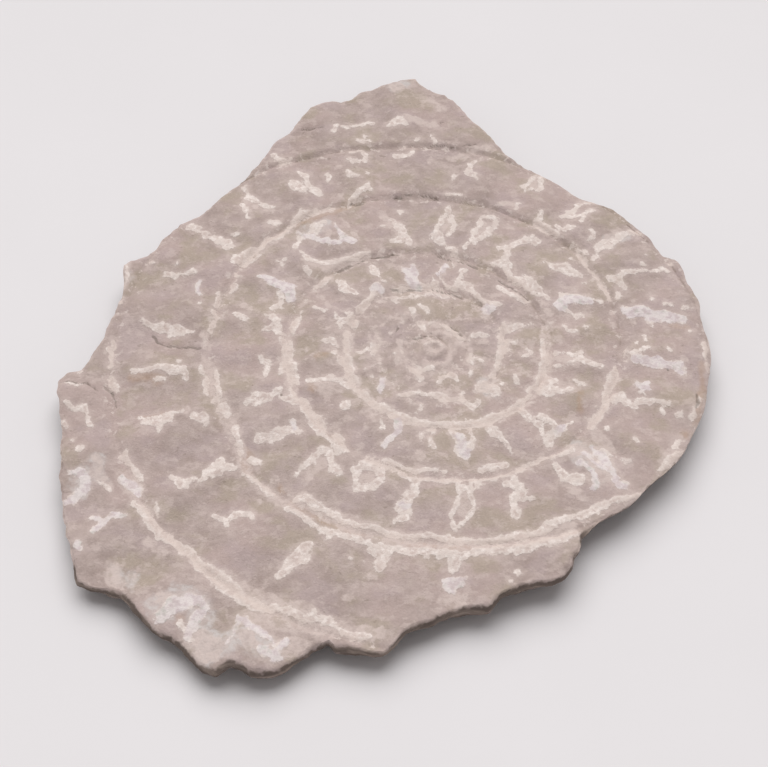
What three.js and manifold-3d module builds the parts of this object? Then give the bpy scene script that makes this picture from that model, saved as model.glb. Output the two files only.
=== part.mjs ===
// Flattened ammonite fossil: one thin piece of stone that carries the pressed
// spiral of an ammonite on its upper face.
//
// Units are millimetres and +Z is up. The origin is on the flat underside,
// below the centre of the spiral. +Y points at the tall hump of the outline.

import * as THREE from 'three';
import { mergeVertices } from 'three/addons/utils/BufferGeometryUtils.js';
import Module from 'manifold-3d';

// Driving dimensions of the stone.
const PLATE_HEIGHT = 5.0;      // underside to the middle of a whorl, at the spiral centre
const RIM_DROP = 0.9;          // how far the upper face falls from the centre to the far rim
const RIM_RADIUS = 60;         // radius at which the whole drop is reached
const UNDERCUT_HEIGHT = 1.6;   // height of the worn, receding foot of the broken edge
const UNDERCUT_WIDTH = 1.1;    // how far the foot stands back from the edge above it

// Driving dimensions of the shell relief.
const WHORL_CROWN = 0.55;      // rise of a whorl above the suture on either side of it
const NUCLEUS_RISE = 0.25;     // height of the spiral centre above the middle of a whorl
const RIB_HEIGHT = 0.22;       // half the height from the hollow between two ribs to a rib
const RIBS_PER_TURN = 24;
const STEPS_PER_RIB = 6;
const RELIEF_START_RIBS = 8;   // ribs over which the relief grows where it leaves the nucleus

// Distance from the centre to the suture, the groove between two whorls, at each
// eighth of a turn. A row is one turn, anticlockwise from the +X axis.
const SUTURE_RADII = [
  5.0, 5.0, 5.5, 6.5, 8.5, 10.0, 11.0, 11.0,
  11.0, 11.5, 12.5, 13.5, 14.0, 14.5, 15.5, 17.0,
  18.0, 18.5, 20.5, 22.5, 23.0, 23.0, 25.0, 27.0,
  28.5, 31.0, 33.0, 35.0, 34.5, 36.0, 36.5, 40.5,
  42.5, 43.0, 45.5, 49.0, 49.5, 52.0, 54.5, 58.0,
  61.0, 64.0, 68.0, 70.0, 72.0, 74.0, 76.0,
];
const RADII_PER_TURN = 8;

// Where the rows of points lie between one suture (0) and the next (1).
const WHORL_ROWS = [0.14, 0.5, 0.86];

// The broken outline, clockwise from the tip of the hump. Only the round rim is a curve.
const HUMP_TIP = [-2.5, 63.5];
const HUMP_RIGHT_SIDE = [[3, 60], [5, 57], [9, 50.5], [14, 43], [19, 38.5]];
const ROUND_RIM = [[28, 32.5], [36, 22], [41.5, 10], [42, -3], [38.5, -17], [28, -30], [19.5, -35.5]];
const LOWER_BREAK = [
  [19, -38], [17, -41.5], [13, -42.5], [7, -46.5], [-2, -49.5], [-7, -53], [-17, -53],
  [-24, -57], [-31, -56], [-36, -53], [-41, -49], [-46, -43.5], [-50, -42],
];
const LEFT_BREAK = [[-52, -37], [-54, -29], [-55, -20], [-56, -10], [-57, -6.5]];
const NOTCHED_SIDE = [[-54, -4], [-50.5, 5], [-49, 11], [-49.5, 17], [-45.5, 20.5]];
const HUMP_LEFT_SIDE = [[-38, 30], [-33.5, 35.5], [-29.5, 39], [-26, 46], [-20, 55.5], [-10, 60]];

const STONE_COLOUR = 0xbaa89c; // dry grey-brown limestone
const RIM_STEPS = 4;           // straight steps between two points of the round rim

const STEPS_PER_TURN = RIBS_PER_TURN * STEPS_PER_RIB;
const LAST_STEP = Math.floor((SUTURE_RADII.length - 1) / RADII_PER_TURN * STEPS_PER_TURN);
const CUTTING_DEPTH = 2;       // how far the relief block and the outline block overlap

// Suture radius at any number of turns, on a smooth curve through the radii above.
const sutureCurve = new THREE.SplineCurve(
  SUTURE_RADII.map((radius, eighth) => new THREE.Vector2(eighth, radius)),
);

function sutureRadius(step) {
  const eighths = step / STEPS_PER_TURN * RADII_PER_TURN;
  return sutureCurve.getPoint(eighths / (SUTURE_RADII.length - 1)).y;
}

// A point of the upper face at a step round the spiral and a place across its whorl.
function facePoint(step, across) {
  const inner = sutureRadius(Math.max(step - STEPS_PER_TURN, 0));
  const radius = THREE.MathUtils.lerp(inner, sutureRadius(step), across);
  const angle = step / STEPS_PER_TURN * 2 * Math.PI;
  const crown = Math.sin(Math.PI * across);
  const rib = Math.cos(step / STEPS_PER_RIB * 2 * Math.PI);
  const ribsFromNucleus = (step - STEPS_PER_TURN) / STEPS_PER_RIB;
  const growth = THREE.MathUtils.clamp(ribsFromNucleus / RELIEF_START_RIBS, 0, 1);
  const relief = (WHORL_CROWN + RIB_HEIGHT * rib) * crown * growth - WHORL_CROWN;
  const drop = RIM_DROP * Math.min(radius / RIM_RADIUS, 1) ** 2;
  return new THREE.Vector3(
    radius * Math.cos(angle),
    radius * Math.sin(angle),
    PLATE_HEIGHT + relief - drop,
  );
}

// Triangles between two neighbouring columns of points, each listed from the inside out.
function stitch(triangles, column, nextColumn) {
  for (let row = 0; row + 1 < column.length; row += 1) {
    triangles.push(column[row], column[row + 1], nextColumn[row + 1]);
    triangles.push(column[row], nextColumn[row + 1], nextColumn[row]);
  }
}

// Triangles round a centre, out to a loop of one turn whose last point lies outward of
// its first. The points between them, on the same radius, are the closing column.
function fillTurn(triangles, centre, loop, closingColumn) {
  const lastOfLoop = loop[loop.length - 1];
  for (let i = 0; i + 1 < loop.length; i += 1) {
    triangles.push(centre, loop[i], loop[i + 1]);
  }
  triangles.push(centre, lastOfLoop, closingColumn[0]);
  for (let i = 0; i + 1 < closingColumn.length; i += 1) {
    triangles.push(closingColumn[i], lastOfLoop, closingColumn[i + 1]);
  }
}

// A block whose upper face is the ribbed spiral, wider and deeper than the stone.
function reliefBlock() {
  const points = [];
  const triangles = [];
  const addPoint = (point) => points.push(point) - 1;

  // Column of points across the whorl at each step. It starts on the suture one turn back.
  const sutureAt = [];
  const columns = [];
  for (let step = 0; step <= LAST_STEP; step += 1) {
    const column = [];
    if (step >= STEPS_PER_TURN) {
      column.push(sutureAt[step - STEPS_PER_TURN]);
      WHORL_ROWS.forEach((across) => column.push(addPoint(facePoint(step, across))));
    }
    sutureAt.push(addPoint(facePoint(step, 1)));
    column.push(sutureAt[step]);
    columns.push(column);
  }
  for (let step = STEPS_PER_TURN; step < LAST_STEP; step += 1) {
    stitch(triangles, columns[step], columns[step + 1]);
  }

  // The nucleus closes the middle of the face.
  const nucleus = addPoint(new THREE.Vector3(0, 0, PLATE_HEIGHT + NUCLEUS_RISE));
  fillTurn(triangles, nucleus, sutureAt.slice(0, STEPS_PER_TURN), columns[STEPS_PER_TURN]);

  // Walls drop from the outermost turn to a flat base below the stone's underside.
  const outerTurn = sutureAt.slice(LAST_STEP - STEPS_PER_TURN);
  const endColumn = columns[LAST_STEP];
  const rim = outerTurn.concat(endColumn.slice(1, -1).reverse());
  const foot = rim.map((index) => addPoint(points[index].clone().setZ(-CUTTING_DEPTH)));
  rim.forEach((top, i) => {
    const next = (i + 1) % rim.length;
    triangles.push(top, foot[i], foot[next]);
    triangles.push(top, foot[next], rim[next]);
  });
  const base = addPoint(new THREE.Vector3(0, 0, -CUTTING_DEPTH));
  const below = [];
  const footEnd = [foot[0], ...foot.slice(outerTurn.length).reverse(), foot[outerTurn.length - 1]];
  fillTurn(below, base, foot.slice(0, outerTurn.length - 1), footEnd);
  for (let i = 0; i < below.length; i += 3) {
    triangles.push(below[i], below[i + 2], below[i + 1]);
  }

  const geometry = new THREE.BufferGeometry().setFromPoints(points);
  geometry.setIndex(triangles);
  return geometry;
}

// The outline of the stone: straight breaks between corners, and the round rim.
function stoneOutline() {
  const outline = new THREE.Shape().moveTo(...HUMP_TIP);
  HUMP_RIGHT_SIDE.forEach((corner) => outline.lineTo(...corner));
  outline.splineThru(ROUND_RIM.map(([x, y]) => new THREE.Vector2(x, y)));
  const leftSide = [LOWER_BREAK, LEFT_BREAK, NOTCHED_SIDE, HUMP_LEFT_SIDE];
  leftSide.flat().forEach((corner) => outline.lineTo(...corner));
  return outline;
}

// A straight-sided block of that outline, standing on a foot that is set back all round.
function outlineBlock() {
  const geometry = new THREE.ExtrudeGeometry(stoneOutline(), {
    depth: PLATE_HEIGHT + CUTTING_DEPTH,
    curveSegments: RIM_STEPS,
    bevelThickness: UNDERCUT_HEIGHT,
    bevelSize: UNDERCUT_WIDTH,
    bevelOffset: -UNDERCUT_WIDTH,
    bevelSegments: 1,
  });
  geometry.translate(0, 0, UNDERCUT_HEIGHT);
  return geometry;
}

const wasm = await Module();
wasm.setup();

function toSolid(geometry) {
  geometry.deleteAttribute('normal');
  geometry.deleteAttribute('uv');
  const merged = mergeVertices(geometry);
  return new wasm.Manifold(new wasm.Mesh({
    numProp: 3,
    vertProperties: merged.getAttribute('position').array,
    triVerts: Uint32Array.from(merged.getIndex().array),
  }));
}

function toGeometry(solid) {
  const mesh = solid.getMesh();
  const geometry = new THREE.BufferGeometry();
  geometry.setAttribute('position', new THREE.BufferAttribute(mesh.vertProperties, 3));
  geometry.setIndex(new THREE.BufferAttribute(mesh.triVerts, 1));
  geometry.computeVertexNormals();
  return geometry;
}

const stone = new THREE.Mesh(
  toGeometry(toSolid(reliefBlock()).intersect(toSolid(outlineBlock()))),
  new THREE.MeshStandardMaterial({ color: STONE_COLOUR, roughness: 0.85, metalness: 0 }),
);
stone.name = 'ammonite_fossil';

const group = new THREE.Group();
group.add(stone);

export default group;
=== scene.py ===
"""A pressed ammonite fossil: a thin broken slab of limestone with the spiral shell on its upper face.

The slab is one mesh. Its upper face is a fine grid that is laid out as a disc, stretched to the broken
outline and then carved: whorls, grooves, ribs, flakes of shell, cracks and the worn rim. Places on the
slab are millimetres from the centre of the spiral, X to the right and Y towards the tall hump.
"""

import logging
import math
from dataclasses import dataclass, field
from enum import Enum
from typing import NamedTuple

import bpy
import numpy as np
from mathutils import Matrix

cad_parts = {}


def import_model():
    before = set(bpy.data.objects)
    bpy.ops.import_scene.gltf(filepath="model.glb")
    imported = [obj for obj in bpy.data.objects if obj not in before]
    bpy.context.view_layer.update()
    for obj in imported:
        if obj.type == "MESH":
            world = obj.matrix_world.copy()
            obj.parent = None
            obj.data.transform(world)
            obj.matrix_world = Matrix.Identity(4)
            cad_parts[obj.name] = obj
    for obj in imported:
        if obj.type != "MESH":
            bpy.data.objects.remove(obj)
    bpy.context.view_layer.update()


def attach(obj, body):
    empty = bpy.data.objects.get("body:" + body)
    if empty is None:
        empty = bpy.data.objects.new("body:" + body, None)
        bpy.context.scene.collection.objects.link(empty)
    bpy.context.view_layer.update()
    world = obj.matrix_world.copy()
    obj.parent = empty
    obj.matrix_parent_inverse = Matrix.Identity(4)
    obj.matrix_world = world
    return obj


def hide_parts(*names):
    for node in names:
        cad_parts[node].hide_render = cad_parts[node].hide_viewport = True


LOG = logging.getLogger("ammonite")
MM = 0.001
TURN = 2.0 * math.pi
NODE = "ammonite_fossil"
BODY = "root"
Stroke = tuple[tuple[float, float, float], ...]
Corners = tuple[tuple[float, float], ...]
Colour = tuple[float, float, float, float]
Socket = bpy.types.NodeSocket


# --------------------------------------------------------------------------------------------------
# Helpers for arrays and operators
# --------------------------------------------------------------------------------------------------

def smoothstep(low: float | np.ndarray, high: float, value: np.ndarray) -> np.ndarray:
    """Ease from 0 at low to 1 at high.

    Args:
        low: Value that gives 0.
        high: Value that gives 1. It may be the smaller of the two.
        value: Values to ease.

    Returns:
        The eased values, between 0 and 1.
    """
    part = np.clip((value - low) / (high - low), 0.0, 1.0)
    return part * part * (3.0 - 2.0 * part)


class GradientNoise:
    """Smooth random bumps on a plane, the same on every run."""

    LATTICE = 256
    LAYER_SHIFT = (17.3, -9.1)

    def __init__(self, seed: int) -> None:
        """Draw the random slopes.

        Args:
            seed: Number that picks the pattern.
        """
        angles = np.random.default_rng(seed).uniform(0.0, TURN, (self.LATTICE, self.LATTICE))
        self.slope_x = np.cos(angles)
        self.slope_y = np.sin(angles)

    def layer(self, x: np.ndarray, y: np.ndarray) -> np.ndarray:
        """One layer of noise with bumps about one unit across.

        Args:
            x: First coordinate.
            y: Second coordinate.

        Returns:
            Noise between about -0.7 and 0.7.
        """
        cell_x, cell_y = np.floor(x).astype(int), np.floor(y).astype(int)
        part_x, part_y = x - cell_x, y - cell_y
        ease_x = part_x ** 3 * (part_x * (part_x * 6.0 - 15.0) + 10.0)
        ease_y = part_y ** 3 * (part_y * (part_y * 6.0 - 15.0) + 10.0)
        corners = []
        for step_x in (0, 1):
            for step_y in (0, 1):
                at = ((cell_x + step_x) % self.LATTICE, (cell_y + step_y) % self.LATTICE)
                rise_x = self.slope_x[at] * (part_x - step_x)
                rise_y = self.slope_y[at] * (part_y - step_y)
                corners.append(rise_x + rise_y)
        near = corners[0] + ease_y * (corners[1] - corners[0])
        far = corners[2] + ease_y * (corners[3] - corners[2])
        return near + ease_x * (far - near)

    def at(self, x: np.ndarray, y: np.ndarray, size: float, layers: int = 3) -> np.ndarray:
        """Layered noise.

        Args:
            x: First coordinate, in millimetres.
            y: Second coordinate, in millimetres.
            size: Width of the largest bumps, in millimetres.
            layers: Number of layers. Each is half as wide and half as high as the one before.

        Returns:
            Noise between about -1 and 1.
        """
        total = np.zeros(np.broadcast(x, y).shape)
        for index in range(layers):
            scale = 2.0 ** index / size
            shift_x, shift_y = (index * step for step in self.LAYER_SHIFT)
            total += self.layer(x * scale + shift_x, y * scale + shift_y) / 2.0 ** index
        return total


def catmull_rom(knots: np.ndarray, place: np.ndarray) -> np.ndarray:
    """Smooth curve through evenly spaced values.

    Args:
        knots: Values at 0, 1, 2 and so on.
        place: Where to read the curve, in knots.

    Returns:
        The values of the curve.
    """
    place = np.clip(place, 0.0, len(knots) - 1.000001)
    start = place.astype(int)
    part = place - start
    before, first, second, after = (knots[np.clip(start + k, 0, len(knots) - 1)] for k in (-1, 0, 1, 2))
    slope_in, slope_out = (second - before) / 2.0, (after - first) / 2.0
    rest = first - second
    bend = -3.0 * rest - 2.0 * slope_in - slope_out
    twist = 2.0 * rest + slope_in + slope_out
    return first + part * (slope_in + part * (bend + part * twist))


def stroke_gap(stroke: Stroke, x: np.ndarray, y: np.ndarray) -> np.ndarray:
    """Distance from a stroke of changing width.

    Args:
        stroke: Points of the stroke: X, Y and half width.
        x: Places to measure from, in millimetres.
        y: Places to measure from, in millimetres.

    Returns:
        Distance to the edge of the stroke, negative inside it.
    """
    points = np.array(stroke + stroke[:1] if len(stroke) == 1 else stroke)
    gap = np.full(x.shape, np.inf)
    for start, end in zip(points[:-1], points[1:]):
        along = end[:2] - start[:2]
        length = float(along @ along)
        if length == 0.0:
            part = np.zeros(x.shape)
        else:
            part = np.clip(((x - start[0]) * along[0] + (y - start[1]) * along[1]) / length, 0.0, 1.0)
        away = np.hypot(x - start[0] - part * along[0], y - start[1] - part * along[1])
        gap = np.minimum(gap, away - start[2] - part * (end[2] - start[2]))
    return gap


def deselect_all() -> None:
    """Leave object mode with nothing selected, so that operators touch only what comes next."""
    if bpy.context.object and bpy.context.object.mode != "OBJECT":
        bpy.ops.object.mode_set(mode="OBJECT")
    bpy.ops.object.select_all(action="DESELECT")


def select_open_edges() -> None:
    """In edit mode, select only the edges that have a face on one side and nothing on the other."""
    bpy.ops.mesh.select_all(action="DESELECT")
    bpy.ops.mesh.select_non_manifold(extend=False, use_wire=False, use_multi_face=False,
                                     use_non_contiguous=False, use_verts=False)


# --------------------------------------------------------------------------------------------------
# Shape of the shell and of the slab, in millimetres
# --------------------------------------------------------------------------------------------------

@dataclass(frozen=True)
class ShellSpiral:
    """The groove that winds outwards between the whorls, and the ribs that cross them.

    A place on the groove is given in turns, counted against the clock from +X.
    """

    first_turn: float = -1.25
    knots_per_turn: int = 8
    radii: tuple[float, ...] = (
        3.3, 3.1, 2.3, 2.0, 2.2, 3.1, 4.4, 5.5, 5.7, 5.3,
        5.0, 5.0, 5.6, 6.7, 8.4, 10.0, 10.8, 10.9,
        10.9, 11.5, 12.6, 13.4, 13.9, 14.6, 15.7, 17.1,
        17.8, 18.4, 20.3, 22.6, 22.9, 22.7, 24.9, 26.8,
        28.7, 31.1, 33.1, 35.4, 34.4, 36.0, 36.4, 40.4,
        42.5, 42.6, 45.6, 49.2, 49.4, 52.0, 54.5, 58.0,
        61.0, 64.0, 68.0, 70.0, 72.0, 74.0, 76.0)
    rib_turns: tuple[float, ...] = (-1.25, 0.0, 2.385, 2.783, 3.515, 3.822, 4.11, 4.342, 4.6, 6.0)
    rib_numbers: tuple[float, ...] = (0.0, 27.5, 80.0, 90.0, 107.0, 114.0, 121.0, 127.0, 134.0, 169.0)

    def radius(self, turns: np.ndarray) -> np.ndarray:
        """Distance of the groove from the centre.

        Args:
            turns: Places on the groove.

        Returns:
            Radii in millimetres.
        """
        return catmull_rom(np.array(self.radii), (turns - self.first_turn) * self.knots_per_turn)

    def locate(self, x: np.ndarray, y: np.ndarray) -> tuple[np.ndarray, np.ndarray, np.ndarray]:
        """Find the whorl that each place lies on.

        Args:
            x: Places, in millimetres.
            y: Places, in millimetres.

        Returns:
            The turns of the groove inside each place, and the distances to the grooves inside and
            outside it.
        """
        away = np.hypot(x, y)
        angle = np.arctan2(y, x) / TURN % 1.0
        turns = angle - 2.0
        inner = np.zeros(x.shape)
        for whole in range(-1, 6):
            radius = self.radius(angle + whole)
            beyond = radius <= away
            turns = np.where(beyond, angle + whole, turns)
            inner = np.where(beyond, radius, inner)
        return turns, away - inner, self.radius(turns + 1.0) - away

    def rib_number(self, turns: np.ndarray) -> np.ndarray:
        """Number of the rib at each place, whole on a crest.

        Args:
            turns: Places along the whorls.

        Returns:
            Rib numbers.
        """
        return np.interp(turns, self.rib_turns, self.rib_numbers)


@dataclass(frozen=True)
class BrokenOutline:
    """Edge of the slab seen from above: the shell's round rim on the right, and broken rock elsewhere."""

    hump_right: Corners = (
        (-2.0, 64.0), (-1.2, 62.5), (0.0, 61.3), (3.0, 60.0), (4.3, 58.0), (5.5, 55.8), (7.0, 53.3),
        (8.0, 51.3), (9.5, 49.5), (11.0, 47.5), (12.0, 45.7), (13.0, 44.0), (15.0, 41.8), (17.0, 40.5))
    round_rim: Corners = (
        (19.0, 39.2), (21.3, 36.4), (24.6, 33.6), (28.2, 31.4), (31.2, 28.8), (33.6, 26.2), (35.2, 24.1),
        (36.0, 22.0), (36.9, 20.0), (38.7, 18.7), (39.8, 16.8), (40.4, 14.6), (41.3, 12.4), (41.9, 10.0),
        (42.0, 7.4), (42.4, 4.5), (42.5, 1.5), (42.1, -4.5), (40.6, -10.0), (38.0, -17.0), (34.0, -22.8),
        (28.0, -28.8), (22.0, -33.2), (19.7, -34.8))
    lower_break: Corners = (
        (19.2, -37.5), (18.2, -39.5), (17.0, -41.5), (15.6, -42.2), (13.0, -42.2), (11.0, -43.0),
        (8.0, -45.0), (6.5, -46.6), (3.0, -46.5), (1.0, -47.3), (-2.0, -49.0), (-5.0, -50.5),
        (-6.5, -52.5), (-8.0, -53.5), (-11.0, -53.2), (-14.0, -52.8), (-15.3, -51.8), (-18.0, -53.3),
        (-19.5, -54.5), (-21.0, -56.0), (-23.0, -56.8), (-25.5, -56.8), (-27.0, -55.8), (-28.5, -55.5),
        (-30.0, -56.3), (-32.0, -56.0), (-33.5, -54.5), (-34.5, -53.0), (-36.0, -51.8), (-38.5, -50.5),
        (-40.0, -49.0), (-42.0, -47.0), (-44.0, -44.5), (-46.0, -43.5), (-48.0, -43.3), (-50.0, -42.5))
    left_break: Corners = (
        (-51.3, -39.0), (-52.3, -35.0), (-53.5, -31.0), (-54.5, -26.0), (-55.0, -22.0), (-55.5, -17.0),
        (-56.3, -12.0), (-57.0, -8.0), (-57.2, -6.5), (-56.0, -4.7), (-54.0, -4.0), (-53.0, -2.0),
        (-51.5, 1.5), (-50.5, 5.0), (-49.5, 9.0), (-49.0, 12.5), (-49.6, 17.8), (-48.5, 19.0),
        (-45.7, 20.0), (-44.5, 22.0), (-43.0, 25.0), (-41.0, 27.7), (-38.0, 29.2), (-36.5, 30.5),
        (-35.0, 33.5), (-33.5, 35.3), (-32.0, 36.7), (-30.0, 39.8), (-28.8, 41.5), (-27.5, 44.0),
        (-26.0, 47.5))
    hump_left: Corners = (
        (-25.0, 49.0), (-24.0, 49.7), (-22.5, 52.3), (-20.5, 55.5), (-19.0, 56.5), (-16.5, 57.5),
        (-14.0, 58.5), (-12.0, 60.3), (-10.0, 61.0), (-8.0, 62.0), (-5.0, 62.8), (-3.5, 63.5),
        (-2.0, 64.0))
    rim_steps: int = 6

    def corners(self) -> np.ndarray:
        """Corners of the closed outline, clockwise from the tip of the hump.

        Returns:
            An array of X, Y rows. The last corner meets the first.
        """
        rim = np.array(self.round_rim)
        place = np.linspace(0.0, len(rim) - 1.0, (len(rim) - 1) * self.rim_steps + 1)
        smooth = np.stack([catmull_rom(rim[:, 0], place), catmull_rom(rim[:, 1], place)], axis=1)
        return np.concatenate([self.hump_right, smooth, self.lower_break, self.left_break, self.hump_left])

    def spread(self, count: int) -> np.ndarray:
        """Evenly spaced points along the outline.

        Args:
            count: Number of points.

        Returns:
            An array of X, Y rows. The closing point isn't repeated.
        """
        corners = self.corners()
        run = np.concatenate([[0.0], np.cumsum(np.hypot(*np.diff(corners, axis=0).T))])
        place = np.linspace(0.0, run[-1], count, endpoint=False)
        return np.stack([np.interp(place, run, side) for side in corners.T], axis=1)


class MarkKind(Enum):
    """What a mark on the upper face is made of."""

    CREAM = "cream"
    NACRE = "nacre"
    FILM = "film"
    FROST = "frost"
    RUST = "rust"
    HOLLOW = "hollow"


@dataclass(frozen=True)
class Mark:
    """One mark on the upper face, drawn as a stroke whose width changes along it."""

    kind: MarkKind
    half_width: float
    points: tuple[tuple[float, ...], ...]

    def stroke(self) -> Stroke:
        """The points of the stroke, each with a half width of its own."""
        return tuple((*point, self.half_width)[:3] for point in self.points)


def cream(half_width: float, *points: tuple[float, ...]) -> Mark:
    """A flake of cream shell.

    Args:
        half_width: Half width where a point gives none, in millimetres.
        points: X and Y of each point, with a half width where it differs.

    Returns:
        The mark.
    """
    return Mark(MarkKind.CREAM, half_width, points)


def nacre(half_width: float, *points: tuple[float, ...]) -> Mark:
    """A flake that keeps its lilac mother of pearl. Args and Returns are as for cream."""
    return Mark(MarkKind.NACRE, half_width, points)


def film(half_width: float, *points: tuple[float, ...]) -> Mark:
    """A thin pale film left where a flake came off. Args and Returns are as for cream."""
    return Mark(MarkKind.FILM, half_width, points)


def frost(half_width: float, *points: tuple[float, ...]) -> Mark:
    """A broad grey white patch of thin, weathered shell. Args and Returns are as for cream."""
    return Mark(MarkKind.FROST, half_width, points)


def rust(half_width: float, *points: tuple[float, ...]) -> Mark:
    """An orange or brown stain. Args and Returns are as for cream."""
    return Mark(MarkKind.RUST, half_width, points)


def hollow(half_width: float, *points: tuple[float, ...]) -> Mark:
    """A pit, or a crack if it is long, painted dark inside as shade. Args and Returns are as for cream."""
    return Mark(MarkKind.HOLLOW, half_width, points)


CENTRE_MARKS: tuple[Mark, ...] = (
    cream(.2, (-6.5, 12.3), (-4, 12), (-1, 12), (1.5, 12.2)),
    cream(.25, (-7.5, 10.5), (-5, 10.6), (-2, 11), (1, 11), (3.5, 10.3)),
    cream(.4, (-6, 9.8), (-5.6, 9.3, .3)),
    cream(.45, (-15, -1.2, .3), (-14.3, -2.5), (-13.5, -4), (-13, -5.8), (-12.3, -7.5), (-11.5, -9.3),
          (-10, -10.5), (-8.5, -11.5), (-6.5, -12.8), (-4.5, -14)),
    cream(.35, (-13.5, 3.5, .2), (-13.4, 2.5), (-13.3, -.5), (-13, -3), (-12.2, -5.5), (-11.6, -6.8, .2)),
    cream(.35, (-17, 1.6, .3), (-15.8, 1.5, .45), (-14.8, .3, .3)),
    hollow(.2, (-15, 1)),
    cream(.4, (-15.3, -1.3)),
    cream(.3, (-11.5, -1.1, .25), (-10.3, -.3, .4), (-9.7, -1, .2)),
    cream(.2, (-9.5, .4, .3), (-9.4, -1.3, .15)),
    cream(.2, (-8.7, .3), (-8.8, -1.4, .15)),
    cream(.2, (-8.4, 1.6), (-8, 1)),
    cream(.35, (-8.2, -3.4)),
    cream(.2, (-11.4, 3.3)),
    cream(.2, (-10.7, -4.3)),
    cream(.25, (-9.5, -5.9)),
    nacre(.5, (-8.2, -6.3, .4), (-8, -7.5, .65), (-8.5, -8.3)),
    cream(.5, (-3.8, -4.5, .3), (-2.5, -5.5), (-2, -6.3, .6)),
    film(1.3, (-1, -4.8)),
    cream(.3, (.5, -6.8), (1.2, -5.9, .4), (2.3, -5.5, .4), (3.2, -6.2), (3.6, -6.9, .2)),
    cream(.4, (-5.5, -9.3, .25), (-4, -9.3), (-2.5, -8.9), (-1, -9.5), (.5, -9.7), (1.2, -9.3),
          (2, -10.3, .5),
          (3.5, -10.2), (4.5, -10.8), (5.5, -11.6, .6), (6.3, -11), (6.8, -10.5, .25)),
    cream(.5, (1, -10.3)),
    cream(.3, (3.6, -9.2), (4.2, -9)),
    film(.5, (-6, -8.3)),
    film(.6, (2, -9)),
    cream(.25, (-2.1, -11.5), (-2.6, -12.7, .3)),
    hollow(.18, (-2.3, -11.3)),
    cream(.8, (7, -7.5), (8, -8, .9), (9, -8.5, .6), (8.6, -9.5, .3)),
    cream(.5, (8.5, -6, .4), (9.3, -4.5), (9.9, -3), (10, -1.5), (10.3, 0), (10.2, 2, .3)),
    cream(.4, (9, -6.2)),
    cream(.4, (10.9, -.5, .5), (11, .5), (11.3, 1, .3), (12.8, 1.3, .2)),
    cream(.45, (11, 3, .5), (12.5, 4, .5), (14, 4.6, .35), (15.5, 4.7, .2)),
    cream(.4, (10.9, 5, .25), (10.7, 4.2)),
    hollow(.15, (12.1, 1.9)),
    cream(.25, (10, -7.3)),
    cream(.4, (12, -5.7, .25), (12.4, -6.8, .5)),
    cream(.2, (13.5, -1.7), (14.8, -1), (14.7, -.3)),
    cream(.35, (6.2, 2.5), (7.5, 2.6, .4), (8.8, 2.4, .15)),
    cream(.3, (5.6, -1.5, .2), (5.3, -2.6), (6.8, -2.4), (7.5, -2.7)),
    cream(.3, (5.5, -5), (5.3, -5.5)),
    film(.8, (-1, 5), (1, 4.8), (2.5, 3.5), (4, 2), (4.5, .5)),
    film(.6, (-.5, -.5)),
    hollow(.16, (-3, 1.5), (-2, 2), (-1, 2.8), (0, 3.2)),
    cream(.3, (-2.5, 5.2, .25), (-1.8, 4.5), (-1.3, 3.7, .4)),
    cream(.35, (-3.3, 8, .25), (-3.2, 7)),
    cream(.35, (-1.8, 9, .2), (-1, 8), (-.7, 7, .3)),
    film(.3, (-4.2, 7), (-5, 6), (-6, 4.5), (-6.8, 3)),
    hollow(.12, (-5.5, 4.2), (-6.3, 3.2)),
    cream(.25, (-5, -1)),
    cream(.2, (-6.2, -1)),
)

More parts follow.
